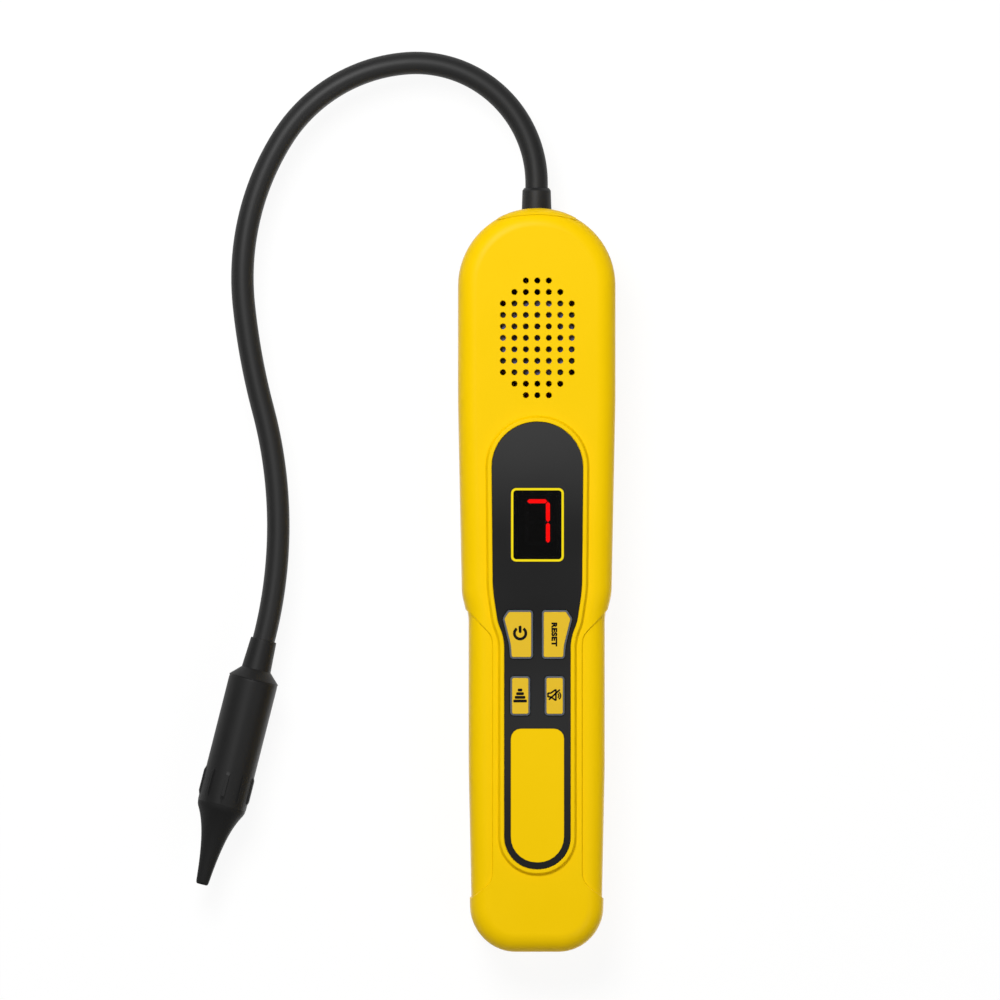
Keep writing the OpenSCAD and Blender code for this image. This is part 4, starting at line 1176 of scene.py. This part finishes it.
class DETECTOR_OT_cells(bpy.types.Operator):
    """Models the four cells, each in a wrap with a band at its button"""

    bl_idname = "detector.cells"
    bl_label = "Cells"

    def execute(self, context):
        low, high = (Vector(corner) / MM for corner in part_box("cell_1"))
        r, long = (high.x - low.x) / 2, high.y - low.y
        shoulder, band, wrapped = long - 1, long - 13, r - 1.3
        cell = turned("cell", [
            (r - 1.2, 0), (r - 0.5, 0), (r - 0.15, 0.15), (r, 0.5), (r, band), (r, shoulder - 0.5),
            (r - 0.15, shoulder - 0.15), (r - 0.5, shoulder), (wrapped, shoulder),
            (wrapped - 0.1, shoulder - 0.1), (3.0, shoulder - 0.1), (2.75, shoulder + 0.1),
            (2.75, long - 0.3), (2.45, long)], 48, closed=False)
        coat(cell, "wrap", "band", "steel")
        edit(cell)
        pick("FACE", lambda f: f.calc_center_median().z > band * MM)
        paint(cell, 1)
        pick("FACE", lambda f: f.calc_center_median().xy.length < wrapped * MM)
        paint(cell, 2)
        done()
        smooth(cell, 30)
        places = {}
        for node, up in (("cell_1", True), ("cell_2", True), ("cell_3", False), ("cell_4", False)):
            low, high = (Vector(corner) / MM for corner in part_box(node))
            foot = ((low.x + high.x) / 2, low.y if up else high.y, (low.z + high.z) / 2)
            places[node] = (foot, (-QUARTER if up else QUARTER, 0, 0))
        for node, piece in zip(places, copies(cell, places.values())):
            piece.name = piece.data.name = "wrapped_" + node
            seat(piece, "casing", "cell_wrap", node)
        return {"FINISHED"}


class DETECTOR_OT_inside(bpy.types.Operator):
    """Gives the parts inside the casing their finishes"""

    bl_idname = "detector.inside"
    bl_label = "Parts inside"

    def execute(self, context):
        groups = {
            "brass": ["neck_nut"],
            "steel": ["sensor_can", "board_screws", "contact_bridge", "contact_leaf_left",
                      "contact_leaf_right"],
            "head": ["sensor_base", "controller_chip", "speaker_frame", "battery_tray"],
            "cone": ["speaker_cone"],
            "board": ["circuit_board"],
            "white": ["lead_header"],
            "wire": ["speaker_leads", "battery_leads"],
            "sleeve": ["sensor_lead"],
        }
        for key in ("power", "reset", "level", "mute"):
            groups["head"] += ["plunger_" + key, "switch_" + key]
        for finish, nodes in groups.items():
            for node in nodes:
                coat(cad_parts[node], finish)
        return {"FINISHED"}


# Stage

def floor_finish():
    """White paper: near white to the camera, with a soft shadow, and clear to what is below it."""
    finish, tree = empty_material("white_paper_floor")
    paper = add_node(tree, "ShaderNodeBsdfDiffuse", {"Color": (0.8, 0.8, 0.8, 1)})
    glow = add_node(tree, "ShaderNodeEmission", {"Color": (1, 1, 1, 1), "Strength": 1.04})
    rays = add_node(tree, "ShaderNodeLightPath").outputs
    seen = rays["Is Camera Ray"]
    for ray in ("Is Glossy Ray", "Is Transmission Ray"):
        either = add_node(tree, "ShaderNodeMath", {0: seen, 1: rays[ray]}, operation="MAXIMUM")
        seen = either.outputs[0]
    share = add_node(tree, "ShaderNodeMath", {0: seen, 1: 0.88}, operation="MULTIPLY")
    top = add_node(tree, "ShaderNodeMixShader",
                   {0: share.outputs[0], 1: paper.outputs[0], 2: glow.outputs[0]})
    # the view from below and the lamp below pass through it
    clear = add_node(tree, "ShaderNodeBsdfTransparent")
    below = add_node(tree, "ShaderNodeNewGeometry").outputs["Backfacing"]
    passed = add_node(tree, "ShaderNodeMath", {0: below, 1: rays["Is Shadow Ray"]},
                      operation="MAXIMUM")
    both = add_node(tree, "ShaderNodeMixShader",
                    {0: passed.outputs[0], 1: top.outputs[0], 2: clear.outputs[0]})
    add_node(tree, "ShaderNodeOutputMaterial", {"Surface": both.outputs[0]})
    return finish


class DETECTOR_OT_stage(bpy.types.Operator):
    """Sets up the white floor, the soft lamps and the camera straight above"""

    bl_idname = "detector.stage"
    bl_label = "Stage"

    def execute(self, context):
        scene = context.scene
        floor = new_piece("floor", bpy.ops.mesh.primitive_plane_add, size=6,
                          location=(0, 0, -0.0002))
        floor.data.materials.append(floor_finish())

        scene.world = bpy.data.worlds.new("studio")
        scene.world.use_nodes = True
        sky = scene.world.node_tree.nodes["Background"].inputs
        sky["Color"].default_value = (1, 1, 1, 1)
        sky["Strength"].default_value = 0.18

        for name, spot, aim, size, power in (
                ("key_lamp", (-0.24, 0.48, 0.97), (0, 0.03, 0), 0.5, 9.9),
                ("fill_lamp", (0.5, -0.45, 0.9), (0, -0.02, 0), 0.6, 1.7),
                ("back_lamp", (0.35, -0.25, -0.9), (0, 0.0, 0), 0.6, 5.5)):
            lamp = new_piece(name, bpy.ops.object.light_add, type="AREA", location=spot)
            lamp.data.shape = "DISK"
            lamp.data.size = size
            lamp.data.energy = power
            lamp.visible_camera = False
            lamp.rotation_euler = (Vector(spot) - Vector(aim)).to_track_quat("Z", "Y").to_euler()

        # straight above, leaning a degree to the left as in the photograph
        x, y, z = PICTURE
        camera = new_piece("camera", bpy.ops.object.camera_add, rotation=(0, -CAMERA_LEAN, 0),
                           location=(x - CAMERA_FAR * math.tan(CAMERA_LEAN), y, z + CAMERA_FAR))
        camera.data.sensor_width = 36
        camera.data.lens = camera.data.sensor_width * CAMERA_FAR / PICTURE_WIDTH
        camera.data.clip_end = 20
        scene.camera = camera
        scene.view_settings.view_transform = "Standard"
        return {"FINISHED"}


class DETECTOR_PT_sidebar(bpy.types.Panel):
    """Lists the sizes, colours and steps of the detector"""

    bl_idname = "DETECTOR_PT_sidebar"
    bl_label = "Leak detector"
    bl_space_type = "VIEW_3D"
    bl_region_type = "UI"
    bl_category = "Detector"

    def draw(self, context):
        for settings in (context.scene.detector_sizes, context.scene.detector_colours):
            box = self.layout.box()
            for name in settings.__annotations__:
                box.prop(settings, name)
        for step in STEPS:
            self.layout.operator(step.bl_idname)


STEPS = [DETECTOR_OT_finishes, DETECTOR_OT_front_moulding, DETECTOR_OT_rear_moulding,
         DETECTOR_OT_battery_door, DETECTOR_OT_case_screws, DETECTOR_OT_neck_fittings,
         DETECTOR_OT_gooseneck, DETECTOR_OT_sensor_head, DETECTOR_OT_keys, DETECTOR_OT_display,
         DETECTOR_OT_cells, DETECTOR_OT_inside, DETECTOR_OT_stage]
CLASSES = [DetectorSizes, DetectorColours, *STEPS, DETECTOR_PT_sidebar]


def register():
    for cls in CLASSES:
        bpy.utils.register_class(cls)
    bpy.types.Scene.detector_sizes = PointerProperty(type=DetectorSizes)
    bpy.types.Scene.detector_colours = PointerProperty(type=DetectorColours)


def unregister():
    del bpy.types.Scene.detector_colours
    del bpy.types.Scene.detector_sizes
    for cls in reversed(CLASSES):
        bpy.utils.unregister_class(cls)


def main():
    register()
    bpy.ops.detector.finishes()
    bpy.ops.detector.front_moulding()
    bpy.ops.detector.rear_moulding()
    bpy.ops.detector.battery_door()
    bpy.ops.detector.case_screws()
    bpy.ops.detector.neck_fittings()
    bpy.ops.detector.gooseneck()
    bpy.ops.detector.sensor_head()
    bpy.ops.detector.keys()
    bpy.ops.detector.display()
    bpy.ops.detector.cells()
    bpy.ops.detector.inside()
    bpy.ops.detector.stage()


if __name__ == "__main__":
    main()
